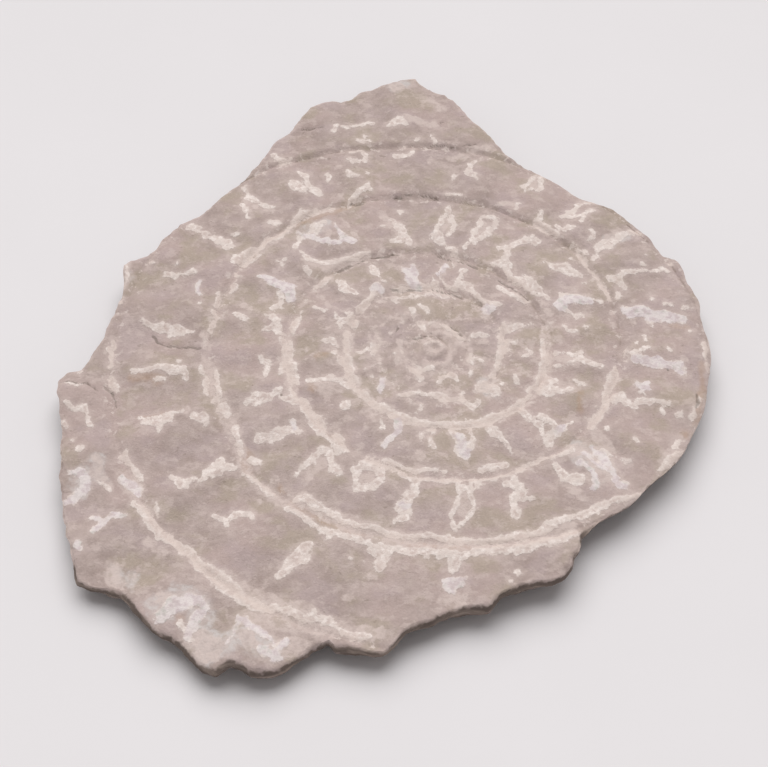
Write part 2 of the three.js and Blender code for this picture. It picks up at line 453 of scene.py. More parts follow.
FRONT_MARKS: tuple[Mark, ...] = (
    cream(.7, (-11.5, -8.5, .5), (-10, -10.3), (-8, -12), (-6.5, -13, .8), (-5, -14), (-2, -14.8, .5),
          (2, -15.2, .5), (6, -15, .8), (8.5, -14, .8), (11, -12.8, .4), (12.5, -11.5, .7), (14, -9.5, .4),
          (14.5, -8, .3)),
    cream(.35, (-12, -23.5), (-9, -22.6), (-7, -23), (-5, -24.3), (-3, -25.3), (0, -25.4), (3, -25.5),
          (5, -25.5), (8, -25), (10, -24.3), (12, -23.5), (14, -22), (16, -21.5), (18, -20.8), (20, -19.6)),
    cream(.25, (-10, -21), (-8, -22), (-5, -23), (-3, -23.5), (0, -23.7)),
    cream(.4, (1, -23.8)),
    cream(.45, (6, -23.5), (8, -23), (10, -22.6)),
    cream(.5, (-12, -33), (-10, -33.8), (-7, -34.8), (-4, -35.3), (-1, -35.3), (3, -36), (6, -36), (9, -35.8),
          (12, -35.2), (14, -34.5), (16, -33.3), (18, -32.3), (20, -31.6), (24, -29.6), (27, -28.2, .3)),
    cream(.6, (-10, -36.3, .4), (-8, -37.3), (-4, -38), (2, -38.4), (8, -37.8), (12, -37.3), (16, -36),
          (19, -34.8)),
    rust(.4, (-5, -36.5), (0, -36.9), (4, -37.1)),
    nacre(.5, (-5.5, -14.5), (-5.6, -16.5), (-6.5, -17.8, .7), (-7.6, -18.8, .6)),
    cream(.25, (-7.8, -14.5), (-8, -15.5)),
    cream(.25, (-2.2, -18.2), (-2.2, -16.5), (-.3, -16), (-.3, -16.8)),
    cream(.25, (-1.2, -18), (-.4, -19.5)),
    film(.7, (-2.3, -20.8)),
    cream(.28, (2.2, -16.5), (3, -18), (3.2, -21)),
    cream(.28, (5.2, -16), (5.3, -18), (5, -20), (4.3, -21.3)),
    nacre(.6, (3.4, -17.2), (4.2, -19, .7), (4.2, -20.8)),
    cream(.5, (8, -15.5), (8.8, -17, .6), (10, -18.6, .4), (11, -20.3, .15)),
    cream(.45, (12.5, -12, .5), (14, -14), (15.5, -15.5), (15.8, -17), (16.3, -18.8, .3)),
    cream(.4, (15, -13.8), (17, -14.5), (18, -16), (17.5, -17.5), (16.5, -18.8)),
    nacre(.9, (18.5, -16)),
    cream(.2, (19.5, -15), (20.5, -14.3)),
    cream(.5, (-8.5, -23.8), (-10.5, -22.5, .8), (-11.5, -23), (-12, -25), (-11.2, -27), (-9, -26.6),
          (-7.9, -25.2), (-8.5, -23.8)),
    film(1.3, (-10, -25)),
    cream(.7, (-3, -25.6, .5), (-3.3, -27.3, .9), (-4.5, -28.8), (-5.2, -30.5, .9), (-4.5, -31.5, .8),
          (-6.2, -32.5, .3)),
    nacre(.6, (-4.7, -29.8)),
    cream(.35, (3, -26), (3.2, -28), (2.5, -30), (1.8, -32), (2.2, -34.2)),
    cream(.3, (4.8, -26), (4.7, -28), (5.3, -30.3), (4, -32), (3, -33.5)),
    cream(.6, (3.8, -26.8)),
    film(.9, (3.8, -28.5), (3.6, -31)),
    cream(.5, (6, -26.5)),
    cream(.6, (9.8, -26, .3), (11.5, -26.4), (12.3, -27.5), (11, -28.5, .8), (12.8, -28.8, .4),
          (13.7, -28.8, .3)),
    cream(.4, (11, -24.8), (11.5, -26.5)),
    cream(.45, (10.8, -29.5), (10.8, -31.5)),
    film(.6, (12.5, -32.5)),
    cream(.8, (17.2, -23, .5), (18.5, -24.8, .9), (20.5, -25)),
    film(1.1, (19.5, -27), (20.5, -28.3, .6)),
    film(1.9, (19.5, -20.2, 1.0), (22, -19.8, 1.4), (23.5, -21), (24.5, -24), (22.5, -24.6, 1.6)),
    nacre(.35, (20.8, -22.2), (22.3, -24), (23, -26)),
    nacre(.4, (23, -26), (22.5, -27)),
    nacre(.5, (26, -26.5), (27, -26)),
    nacre(.3, (22.5, -19.5), (24.5, -21.5), (25.6, -24)),
    nacre(.25, (21.5, -20.5), (23.5, -22.8)),
    film(1.1, (23.5, -17), (24.5, -19.5)),
    cream(.2, (24, -20), (26, -21.2), (28.5, -22)),
    cream(.8, (-9.5, -37.5, .5), (-7.5, -38.5, .9), (-8.5, -40.3)),
    cream(.3, (-10.5, -39.5)),
    film(.5, (-9.5, -42.5)),
    cream(.8, (2, -39), (2, -40.5)),
    nacre(.7, (1.5, -43, .8), (3.2, -42.5, .5)),
    nacre(.8, (1.5, -44)),
    film(.9, (.5, -45.8), (3, -46.2)),
    cream(.4, (11, -41.2)),
    cream(.3, (10, -43)),
    film(.6, (-12.5, -45.3)),
    film(1.0, (-16, -49), (-12, -51), (-8.5, -51.3)),
    cream(.3, (27, -28.5), (30, -27.3)),
    cream(.4, (29.5, -18)),
)

RIGHT_MARKS: tuple[Mark, ...] = (
    cream(.6, (17, 1, .4), (17, -2), (16.5, -5), (15.5, -8, .7)),
    cream(.32, (23.5, 21), (24.2, 19), (25.2, 17), (26.2, 15), (27, 13), (27.7, 11), (27.8, 10)),
    film(.35, (27.9, 8), (28.1, 5)),
    cream(.6, (27.3, -4.5, .4), (26.5, -7), (25.8, -9), (24.8, -12), (23.8, -14), (23, -16, .4)),
    cream(.7, (18.8, 17.2, .4), (20.5, 17, .9), (22, 16.5, 1.0), (23.5, 15.8, .4)),
    cream(.35, (17.9, 18.3)),
    cream(.35, (22.6, 18.9)),
    cream(.3, (24.3, 13.7)),
    cream(.2, (22.5, 12.6)),
    cream(.4, (20.3, 11)),
    nacre(.9, (20, 8.5), (21, 9.5, 1.2), (22.5, 9.8), (24.5, 10, .6), (25, 9.5, .5)),
    cream(.4, (20.8, 7.8), (22, 7), (22.5, 6.5, .5), (23.3, 7)),
    cream(.4, (26.3, 9.7)),
    cream(.3, (29.2, 10.6), (29.2, 11.4)),
    cream(.7, (28.3, 14.5, .6), (29.5, 14, .8), (30.5, 12.8, .4)),
    cream(.35, (30, 15, .3), (31, 16, .45), (33, 16.3, .3), (35, 16.5, .25), (37, 17, .5), (37.7, 16.6, .4)),
    cream(.3, (33.9, 17.8)),
    cream(.25, (34.4, 19.7)),
    cream(.3, (38.5, 18.1)),
    cream(.4, (34.5, 10.2)),
    cream(.22, (36.5, 8.8), (37.7, 8.8)),
    cream(.25, (39.5, 8.3), (40.3, 8.7)),
    nacre(1.1, (29.8, 7.8, .5), (31, 7), (32.5, 7.2), (34.5, 6.5, 1.0), (36.5, 6.5, 1.0), (39, 6.3, .7)),
    cream(.6, (33.7, 5.2)),
    film(.7, (31.2, 5.5)),
    rust(.5, (37.5, 5), (39, 4.6)),
    hollow(.2, (38.7, 4.2)),
    cream(.2, (39.8, 3.7)),
    cream(.3, (32.7, 1.1), (32.7, 1.9)),
    cream(.2, (31.3, 1)),
    hollow(.2, (38.5, .5)),
    cream(.25, (29.4, -.7), (29.4, -1.4)),
    cream(.2, (29.2, -3)),
    cream(.4, (30.5, -1.2), (31.5, -.8), (32.8, -.3, .25)),
    nacre(.85, (31, -2.2), (33, -2.8, .9), (35, -3.3, .9), (37, -3.5, .7), (37.5, -5, .5)),
    hollow(.25, (35.5, -4.4)),
    cream(.2, (35.7, -.3), (36, -1.2)),
    film(.5, (38, -2.5)),
    cream(.3, (18.5, -1.2), (20, -1.5), (21.5, -1.5), (22.5, -1)),
    cream(.5, (22.5, -1.2, .3), (22.3, -2.5), (24, -3.3), (25.5, -3.9, .3)),
    cream(.25, (18.5, -4), (20, -3.7), (21.5, -2.7)),
    film(.8, (19.5, -2.6), (21.2, -2.2)),
    cream(.35, (23.7, 4)),
    cream(.5, (20.3, 4.3, .3), (21.4, 3.2, .6)),
    film(.5, (17, 3), (18, 2.5), (19.5, 1.5)),
    cream(.8, (16.5, -6.8), (18.2, -6.8, .6)),
    cream(.8, (16.8, -9)),
    film(.7, (18, -8.5), (20.5, -8.3), (21.5, -8.8)),
    cream(.3, (21.3, -6.8), (22.4, -7.4)),
    rust(.35, (21.8, -9), (21.7, -11), (21.6, -12.5)),
    cream(.55, (27, -10.4, .7), (28, -9.8, .5), (29, -11), (30, -12, .4)),
    nacre(.8, (30.5, -7.2, .4), (31.3, -8.2, .9), (32.3, -7.3, .3)),
    cream(.4, (31, -9.3)),
    cream(.55, (30, -11), (31, -10.7), (33, -10.7), (34.5, -11.5, .4)),
    cream(.3, (34, -12.6)),
    cream(.5, (36.2, -13.2)),
    cream(.25, (41.7, 1), (41.8, -2), (41.6, -4.5)),
    rust(.45, (41.2, -3), (40.5, -8), (39.3, -12), (38.7, -14.5)),
    hollow(.22, (39.8, -9), (39.4, -10.4), (39, -12)),
    film(.9, (33, -22), (35, -20)),
    rust(.6, (37, -16.5)),
    cream(.3, (36, -18), (35, -19.2)),
)

BACK_RIGHT_MARKS: tuple[Mark, ...] = (
    cream(.45, (7.8, 42.2, .25), (7.2, 41.3), (6.5, 40), (6.6, 39.5, .6), (7.3, 38.5), (8.1, 37.2, .2)),
    cream(.3, (4, 39), (3.8, 37.8)),
    cream(.35, (18.5, 38.8), (16.7, 37.2), (15.8, 35.6), (15.9, 34.8)),
    cream(.4, (19.3, 38.7), (18.7, 37), (18.5, 35.5), (17.8, 34.8)),
    cream(.5, (17, 35)),
    film(.9, (17.6, 37), (17.2, 35.8)),
    cream(.35, (2.8, 34), (4, 34), (5.2, 33.6)),
    film(.7, (12, 31.8), (13.5, 31.5)),
    cream(.25, (14.5, 31.8), (14.1, 30)),
    cream(.35, (7.9, 26), (8.2, 27.2), (8.5, 28.2), (10, 28.6), (11.1, 28.2), (10.9, 27), (10, 26.2),
          (9.6, 25.5)),
    cream(.35, (5, 21), (6.8, 23), (7.3, 25.3)),
    cream(.35, (7, 22.3), (9, 24.3), (9.8, 26)),
    film(.9, (7.6, 23.4), (9.2, 26.5)),
    cream(.3, (3.2, 31), (2.4, 29), (1.5, 26.5), (.3, 24), (-.5, 23.2)),
    cream(.3, (3.5, 29), (3.6, 27), (3.2, 25), (2.6, 24)),
    cream(.9, (1, 24), (1.5, 22.8)),
    film(.8, (2.6, 27.5), (1.8, 25)),
    cream(.4, (2.5, 21.3), (3.5, 20.8), (3.8, 20)),
    cream(.6, (-5, 29.8)),
    film(.8, (-7.8, 28.2)),
    cream(.4, (-7.8, 26)),
    cream(.4, (-6.5, 28, .25), (-5.2, 25.5), (-5, 24, .5)),
    cream(.4, (-5, 26.8, .25), (-4.5, 25), (-4.8, 23.8)),
    cream(.8, (-6.3, 22.8, .5), (-4.5, 23.5, 1.0), (-3.3, 22.4, .4)),
    nacre(.45, (.8, 15, .3), (1.5, 16), (2.2, 17.5)),
    cream(.3, (3.4, 17.7)),
    nacre(.8, (-3.2, 17.5, .5), (-3.4, 15.5, .9), (-3.2, 14, 1.1), (-2.5, 12.8, 1.0)),
    cream(.45, (-5.5, 12.2), (-3, 12.5), (-.5, 13), (.5, 13.3, .6)),
    cream(.2, (0, 14.8)),
    cream(.4, (1.8, 13.8), (2.3, 12.8)),
    cream(.45, (5.3, 16.2), (4.3, 15.5, .35), (4.2, 14), (4.8, 13, 1.0), (5.5, 12.8, .8), (6, 11.3, .4)),
    cream(.5, (3.5, 12.3)),
    cream(.4, (6.7, 10.8), (7.8, 9.8), (9, 9.3), (10.3, 9)),
    nacre(.9, (8.7, 7.8)),
    hollow(.2, (7.7, 9)),
    cream(.5, (10.8, 21.2, .3), (12.2, 21.3, .6), (12, 19.3), (11.8, 17.8, .8), (9.8, 18, .3)),
    cream(.5, (11.8, 17.8), (12, 16.5, .7), (12.4, 14.8, .4)),
    cream(.5, (12.8, 21.3, .35), (14, 22.3), (15.5, 23.3, .7), (16.8, 24, .3), (17.5, 23.3, .4),
          (16.5, 22.7, .4)),
    cream(.6, (18, 29.4, .3), (18, 28), (17.5, 27, .8), (18.5, 26.3, .9), (19.8, 25.5), (20.3, 24.6, .3)),
    cream(.4, (20.5, 26.5, .3), (21.5, 25.3), (22.8, 26, .5)),
    cream(.5, (21.7, 28.6, .4), (22.8, 28.8, .6), (23, 29.8), (24, 30.5, .4), (24.4, 31.7, .3),
          (25.8, 32.3, .3)),
    cream(.3, (23.3, 28.2), (24, 28.8), (25.2, 29), (25.9, 29.8), (26.8, 30.2)),
    cream(.3, (24.8, 27.3), (25.2, 28.6)),
    cream(.22, (25.9, 25.3), (26.4, 24.3), (26, 23.3)),
    cream(.7, (26.9, 20.7, .6), (27.5, 21.8, .9), (29, 22.6, .9), (30.5, 23.5, .5), (31.5, 24.5, .3)),
    cream(.18, (26.8, 20), (25.9, 18.8)),
    film(.8, (28, 22.8), (30, 24.5), (30.5, 26)),
    cream(.4, (25.1, 20.6)),
    cream(.3, (23.7, 21), (23.5, 20.3), (24.2, 19)),
    cream(1.0, (14.5, 14.3, 1.2), (15.2, 13, 1.2), (16.3, 12), (17, 11, .6)),
    hollow(.25, (16.6, 11.3)),
    cream(.5, (10.5, 12.8), (12, 11.5), (13.5, 10.5), (14.5, 9.8)),
    hollow(.1, (10.5, 14.6), (12.5, 13), (15, 10.2)),
    hollow(.2, (15.2, 7.2)),
    film(.4, (17, 9.2)),
    film(.5, (12.8, 26.8)),
)

BACK_LEFT_MARKS: tuple[Mark, ...] = (
    cream(.6, (-21.7, 39.2), (-21, 38, .5), (-20.5, 36, .5), (-19.3, 34.8, .9), (-18.5, 33.8, .5)),
    cream(.7, (-23, 36.5), (-22, 35.3, .9), (-21, 34.7, .6)),
    cream(.45, (-17.3, 38.8), (-17, 37.2)),
    cream(.4, (-13.6, 39.5, .3), (-13.2, 38.2, .5), (-12.3, 38, .35)),
    cream(.3, (-10.4, 39)),
    cream(.5, (-9.6, 35, .4), (-10.3, 35.8, .6), (-11.2, 35, .7), (-12.3, 33.8), (-13, 32.3, .4),
          (-13.6, 31, .3)),
    film(.5, (-15, 33.4)),
    cream(.45, (-15.8, 30.7, .25), (-17.5, 30.2, .35), (-19.3, 29.9, .5), (-20.8, 29.7, .7), (-22, 28, .5),
          (-23, 26.3), (-24.2, 24.8), (-26, 23.4), (-27.5, 22, .55), (-29, 20.7), (-30, 19.5, .8),
          (-31.3, 18.8, 1.0), (-30.3, 18, .5)),
    cream(.3, (-32, 19.8)),
    cream(.35, (-28, 20), (-29, 19), (-30, 17.8)),
    cream(.4, (-31, 36, .3), (-30.8, 35, .3), (-30.3, 33.5), (-29.3, 32.5), (-27.8, 32, .5), (-26.8, 31.3),
          (-25.8, 31, .3)),
    cream(.33, (-31.2, 31.8), (-30.6, 30.3), (-30, 28.5)),
    film(.5, (-26.8, 31), (-26.2, 30.2)),
    cream(.7, (-25.5, 27.2)),
    cream(.4, (-31.8, 24.7)),
    cream(.5, (-39.5, 26.8), (-38.2, 26.3)),
    cream(.5, (-37, 25.3, .35), (-36.3, 24), (-34.5, 23.2, .8), (-33, 23, .7), (-32.3, 22.2, .4),
          (-33.3, 21.5, .4)),
    film(1.0, (-34.2, 22.5)),
    cream(.38, (-42.3, 15.7, .5), (-41, 15.4), (-39.5, 15.4), (-38, 16.2, .3)),
    nacre(.25, (-37.3, 14), (-37.5, 12.5), (-36.9, 11.2)),
    cream(.2, (-36.7, 9.6)),
    cream(.35, (-33.9, 11.5, .25), (-33.8, 10, .4), (-34, 9, .4)),
    cream(.28, (-34.4, 7.5), (-34.1, 6), (-34.2, 4.5)),
    cream(.28, (-31.1, 14, .2), (-31.5, 12.8), (-32.2, 11.3, .2)),
    cream(.18, (-31.6, 16), (-31, 14.8)),
    film(.4, (-33.2, 7), (-33, 6)),
    nacre(1.0, (-27.3, 14.8, .5), (-25.5, 13.8, .8), (-24, 12.8), (-22.7, 12.3, 1.3), (-22.3, 10.5, .8),
          (-22, 9.8, .4)),
    cream(.4, (-24.2, 11, .3), (-23.8, 10, .3), (-24.3, 9, .5), (-25.3, 8.3)),
    cream(.4, (-23.7, 8.5)),
    cream(.4, (-25, 6.5), (-24.5, 5.2), (-25.5, 4.5), (-26.3, 4.2)),
    film(.9, (-24.3, 5.8)),
    cream(.4, (-24.5, 4.1), (-24, 3)),
    cream(.35, (-30.5, 6.5), (-29.2, 6)),
    cream(.2, (-24, 18), (-24.2, 18.7), (-25, 19)),
    cream(.2, (-24.2, 18.7), (-23.4, 19)),
    cream(.25, (-21.2, 20.3), (-20, 19), (-19.5, 18)),
    film(.8, (-19.3, 17, 1.0), (-17, 17.5, .9), (-15, 17.8), (-13, 18.3), (-11, 19.3), (-10.3, 20, .4)),
    cream(.45, (-20.5, 19.3, .25), (-18.5, 18), (-15.5, 18.3), (-12.5, 19.3, .55), (-10, 20.3, .3)),
    cream(.4, (-20.3, 17), (-19.8, 15.8)),
    cream(.4, (-16.5, 15), (-17, 14.3, .5), (-18.8, 12.3, .25)),
    cream(.4, (-9.5, 17.3), (-9.3, 16, .6), (-8.8, 15.3, .3)),
    cream(.5, (-7.6, 14.3)),
    nacre(.8, (-8.8, 12.5), (-8.2, 11.8, .6)),
    cream(.4, (-14.9, 13.8, .2), (-14.7, 12.5), (-13.8, 11.8, .7), (-12.7, 12, .5), (-13.2, 10.8, .3)),
    film(.4, (-17.5, 10.7)),
    cream(.35, (-18.3, 8.2, .25), (-17.3, 7.6, .4)),
    cream(.45, (-11.8, 7.5), (-11, 8.5), (-10, 9.8), (-9, 10.5, .3)),
    cream(.45, (-12.8, 7), (-12.9, 5.5), (-12.5, 4.7)),
    film(.9, (-32.6, -9.5), (-31.5, -13), (-29.6, -17), (-28.7, -21), (-27, -25), (-24.3, -28, .6)),
    cream(.3, (-28.9, -17.5, .15), (-28.9, -19.5), (-28.6, -21.5, .15)),
    rust(.6, (-28.2, -21), (-27.4, -24)),
    rust(.5, (-45.5, -5.4), (-43.5, -6.3), (-42, -6.9)),
    cream(.35, (-15.3, 6.9, .25), (-14.7, 5.8, .3), (-14.6, 4.6, .5)),
    nacre(.5, (-21.5, 25, .3), (-20.5, 24.3, .4), (-19.2, 24.4), (-18, 23.2), (-16.5, 22.5, .6), (-15, 22.4)),
    cream(.35, (-21.5, 24.8), (-21.5, 23), (-22.3, 21.5, .4)),
    cream(.9, (-20.2, 25, .5), (-19, 26, 1.1), (-17.4, 27, .5)),
    nacre(.2, (-15.7, 26.9, .15), (-15.2, 25.6), (-14.7, 24.5, .4), (-14.1, 23.4, .9), (-13, 22.8, .8)),
    film(.5, (-14.5, 28), (-13.7, 26.6), (-12.6, 25.2), (-12.2, 24)),
    film(.7, (-17.3, 25.6), (-16.6, 24.4)),
    film(.5, (-8, 20.8), (-8.5, 19.5)),
)

LEFT_MARKS: tuple[Mark, ...] = (
    cream(.45, (-23.3, 1.8, .3), (-23.2, .5, .3), (-22.8, -1), (-22.3, -3), (-22, -5, .6), (-21.8, -7)),
    cream(.38, (-22.3, 1.5, .2), (-22, -.5), (-21.6, -2.5), (-21.3, -5), (-20.8, -7)),
    cream(.35, (-23.4, -3), (-23.2, -4.8)),
    cream(.38, (-20.8, 7.5, .3), (-21.3, 5.8, .45), (-21.7, 4), (-21.8, 2.8, .2)),
    cream(.35, (-21.8, -8.5), (-21.3, -10), (-20.5, -11.3)),
    cream(.45, (-23, -10, .3), (-21.5, -10.8, .5), (-20, -10.9, .5)),
    cream(1.0, (-20, -10.5, .5), (-19.5, -12, .7), (-18.5, -13.5), (-17.5, -15, 1.3), (-16.8, -16.5, .8)),
    cream(.7, (-14.9, -17, .4), (-14.2, -18.6), (-13.7, -19.6, .8), (-12.6, -20.2, .3)),
    cream(.5, (-16, -17.5, .3), (-15, -19), (-14.3, -20.1)),
    cream(.6, (-28, -10.5), (-26.5, -10, .9), (-25, -9.8), (-24, -9, .4), (-23.2, -8.3, .3)),
    hollow(.25, (-23, -9.4)),
    cream(.35, (-26.3, -2, .25), (-25.8, -3, .5), (-25.9, -4.3, .4), (-25.5, -5.9, .3)),
    film(.8, (-35.3, 2.3)),
    cream(.35, (-35.3, -4), (-35.3, -5)),
    cream(.4, (-33.2, -4.7), (-33, -6.5), (-32.7, -8), (-32.5, -9.5), (-33.2, -10.3)),
    cream(.35, (-34.8, -6), (-34.7, -8), (-34.5, -9.3)),
    film(.9, (-33.7, -6.5), (-33.6, -9)),
    film(.3, (-19.7, -1.2), (-19, -1.6), (-18.2, -.9), (-18.8, 0), (-19.7, -.4)),
    rust(.25, (-18, -1.8), (-16.5, -1.5)),
    cream(.45, (-19, -6.7), (-17.5, -6.5), (-16, -5.8), (-14, -6.8), (-13, -7.8)),
    film(1.4, (-17, -7.6), (-15, -7.6)),
    rust(.8, (-18.5, -8)),
    cream(.85, (-13.3, -11.5)),
    film(.25, (-12.5, -16.3), (-11.5, -16.6), (-10.5, -16.3), (-10, -15)),
    film(.9, (-10, -13), (-9, -14)),
    cream(.75, (-26, -17.5), (-24, -17.8, .8), (-22.8, -16.3, .9), (-21.5, -16, .6), (-20, -16.3, .3)),
    nacre(.4, (-21.2, -14.5), (-21, -15.7)),
    cream(.45, (-20.5, -24.3, .25), (-19, -22.8, .35), (-17.8, -20.8), (-16.5, -19.7, .6), (-15.7, -20.3, .5),
          (-15.6, -22), (-15, -23.5, .6), (-14.3, -24.3, .5)),
    film(1.1, (-17, -22), (-18, -23.5, .8)),
    film(.6, (-19.5, -25.3), (-18, -24.7)),
    cream(.35, (-45, 18.2)),
    film(.6, (-49, 13), (-49, 16), (-49, 18.5)),
    cream(.3, (-49.3, 9.5)),
    cream(.25, (-41, 17.7)),
    cream(.5, (-45.5, 5.3, .4), (-43.5, 4.3, .4), (-42, 4.3, .7), (-41, 3.8, .7), (-39, 3.6, .6),
          (-37.8, 3.2, .3)),
    cream(.45, (-40.8, 2.7)),
    cream(.3, (-42, 5)),
    rust(.4, (-42.4, 4.2), (-40.2, 3.6)),
    hollow(.2, (-42.7, 2), (-41.8, 1), (-40.5, .4), (-38.5, .1), (-36, 0)),
    cream(.3, (-49.6, 1.5), (-49.4, 0)),
    cream(.33, (-50.2, 0), (-49.8, -2), (-49.3, -3.8)),
    cream(.38, (-49.3, -6), (-49, -7.5), (-48.5, -8.3)),
    cream(.3, (-54.3, -4.5)),
    cream(.18, (-56.3, -7.3), (-53.5, -7.5)),
    hollow(.14, (-57, -7), (-54.5, -7), (-52.5, -7.3), (-51, -8.5)),
    hollow(.14, (-50, -7.8), (-48.8, -8.8), (-48, -10), (-47.7, -11.5)),
    cream(.5, (-46, -4.8, .3), (-43, -4.7, .4), (-42.7, -4.3), (-41, -4, .6), (-40, -4.8, .7),
          (-38.5, -4.7, .6), (-37.6, -6, .25)),
    cream(.3, (-42.5, -6.5), (-40.8, -6)),
    rust(.7, (-45.3, -5.8), (-43.4, -5.8)),
    cream(.3, (-39, -3.2)),
    cream(.36, (-34, 11.7, .15), (-34.1, 10.2), (-34.2, 8.8, .2)),
    cream(.3, (-34.7, 7.5, .2), (-34.2, 5.8), (-34.4, 3.2, .2)),
    cream(.75, (-42, 3.8, .5), (-40.4, 3.1), (-39, 3.1, .5)),
    hollow(.25, (-43.4, 2.9), (-42.5, 1.6)),
    cream(.22, (-49, 17.6), (-48.7, 15.6), (-48.8, 13.4)),
    cream(.28, (-31, 6.7), (-30.6, 6), (-29.2, 5.7)),
    film(.6, (-30, 9), (-28.6, 7.8)),
    film(.6, (-35.2, 1.5), (-35, -1.5), (-34.6, -4)),
    rust(.9, (-45.6, -5.7), (-43.6, -6), (-42, -6.5)),
)

CORNER_MARKS: tuple[Mark, ...] = (
    cream(.35, (-55.5, -11, .25), (-54, -12, .4), (-53, -11.5, .5), (-52.3, -13), (-51.5, -15, .3)),
    cream(.3, (-55.8, -14.5), (-55, -15.2)),
    cream(.3, (-54, -17.8)),
    cream(.45, (-52.3, -19.7)),
    nacre(.6, (-53.6, -24.2, .3), (-52, -24.3, .7), (-51, -25.6, .9), (-51.4, -27.2, .8), (-52.6, -28.5, .6),
          (-53.8, -29, .4)),
    nacre(.4, (-52.2, -29)),
    film(.8, (-49.8, -21.5, .5), (-49.3, -24, 1.0), (-47.5, -26, .5), (-46.7, -27.3, .2)),
    cream(.38, (-45.8, -20), (-45.3, -21.5), (-44.3, -23), (-43.5, -24), (-43, -25, .3)),
    cream(.45, (-46, -21.3)),
    nacre(.65, (-45.8, -24.8, .5), (-44.5, -26, .8), (-43.5, -27, .6), (-42.8, -28, .3)),
    cream(.8, (-43.5, -29.8, .4), (-42.2, -31, .6), (-41, -33, .7), (-39.5, -34.8), (-37.5, -36.3),
          (-36, -37.3),
          (-34.5, -39), (-32.5, -40.7, .9), (-31, -42.3, 1.1), (-29, -44, 1.2), (-27, -45.8, 1.0),
          (-25, -47, .7), (-23, -47.5, .4)),
    film(.9, (-29, -42), (-27, -43.5), (-26, -45)),
    cream(.35, (-40.3, -30), (-39.8, -32)),
    film(.7, (-24, -45.5, .4), (-22, -46), (-20, -47, .8), (-18, -48.5)),
    cream(.5, (-17, -48.8), (-15.5, -48.8)),
    film(1.2, (-26, -49), (-20, -50), (-15, -51)),
    nacre(.45, (-49.3, -32, .3), (-47.5, -32.5), (-46.5, -31.8), (-44.8, -32, .3)),
    nacre(.45, (-47.6, -32.6), (-47.8, -33.3), (-49, -34.8, .35)),
    nacre(.45, (-50.8, -36.5), (-50.5, -37.8)),
    film(.8, (-45.3, -40), (-45.5, -42), (-44, -43.5)),
    film(.7, (-42.8, -42)),
    nacre(.8, (-38, -48.5), (-36.5, -47, 1.0), (-34.5, -46, 1.2), (-32.8, -46), (-32.3, -47, .6),
          (-33.3, -49, .7),
          (-34, -50.5, .6), (-34.5, -52, .4)),
    film(1.5, (-38, -46)),
    rust(.6, (-35.6, -49)),
    nacre(.45, (-38.5, -49.5), (-37, -48.5)),
    film(1.9, (-33, -52), (-31, -54)),
    nacre(.5, (-27.5, -48.8), (-26.3, -49.8, .6), (-24.5, -51, .4), (-22.8, -52.5, .3), (-22.3, -54, .3)),
    nacre(.2, (-27.5, -49), (-28, -51), (-28.7, -53)),
    film(1.1, (-26.5, -51.5), (-25.5, -53)),
    nacre(.55, (-21, -52.5), (-22, -54), (-22.5, -55.3)),
    film(1.2, (-23, -54), (-19, -53)),
    cream(.6, (-28.8, -31.5, .75), (-27.9, -31.3)),
    cream(.35, (-31.8, -31.8), (-30, -32.8), (-29, -31.8)),
    cream(.35, (-28.3, -31.2), (-27, -31, .4), (-26.2, -32.6, .2)),
    cream(.7, (-38.3, -25.3, .4), (-36.6, -26.2, 1.0), (-35.3, -25.6, .5)),
    cream(.8, (-34.5, -25.9, .3), (-33.2, -24.7), (-31.9, -23.5, 1.25), (-31.7, -22, .5)),
    cream(.75, (-31.4, -23.4), (-29.9, -23.3, .5)),
    cream(.6, (-43.3, -14.8, .3), (-41.3, -15.2, .9), (-39.8, -14.5, .5), (-39.3, -13.8, .2)),
    cream(.35, (-41.2, -15.4), (-41, -16.5)),
    rust(.18, (-44.5, -13.7), (-42, -13.5), (-39, -13.3)),
    film(.35, (-37.9, -12.7), (-37.3, -12.2), (-36.8, -12.8), (-37.4, -13.3)),
    cream(.45, (-34.8, -13.3), (-34.3, -14.8)),
    cream(.6, (-32, -11.5), (-31, -13.5)),
    hollow(.2, (-30.6, -14)),
    cream(.4, (-29.8, -15.5), (-29.3, -17.5), (-29, -19)),
    rust(1.0, (-28, -20.5)),
    cream(.7, (-26.8, -21.5), (-26, -22)),
    cream(.4, (-28, -24.3), (-26.5, -25.8), (-25, -27), (-23.8, -28)),
    film(.35, (-23.6, -25.5), (-23, -25.1), (-22.8, -25.8)),
    rust(.6, (-22.7, -27)),
    cream(.45, (-21.5, -30.5), (-20, -31.3), (-18, -32.8, .5), (-17, -34), (-15, -34.7, .5), (-12, -35.6)),
    cream(.6, (-20.3, -28.8), (-18.5, -29, .7), (-17, -30, .7), (-15.5, -31, .5), (-13.5, -32.5, .4),
          (-11.5, -33.3, .5)),
    rust(.3, (-21, -29.5), (-18, -31.5), (-15, -33.5), (-11, -35)),
    cream(.95, (-18.5, -36.8, .8), (-19.5, -38.5, 1.4), (-20.8, -40), (-22.3, -41.7, .5)),
    cream(.3, (-15.6, -35.7)),
    cream(.2, (-12.5, -39.3)),
    film(.6, (-25.8, -29.5)),
)

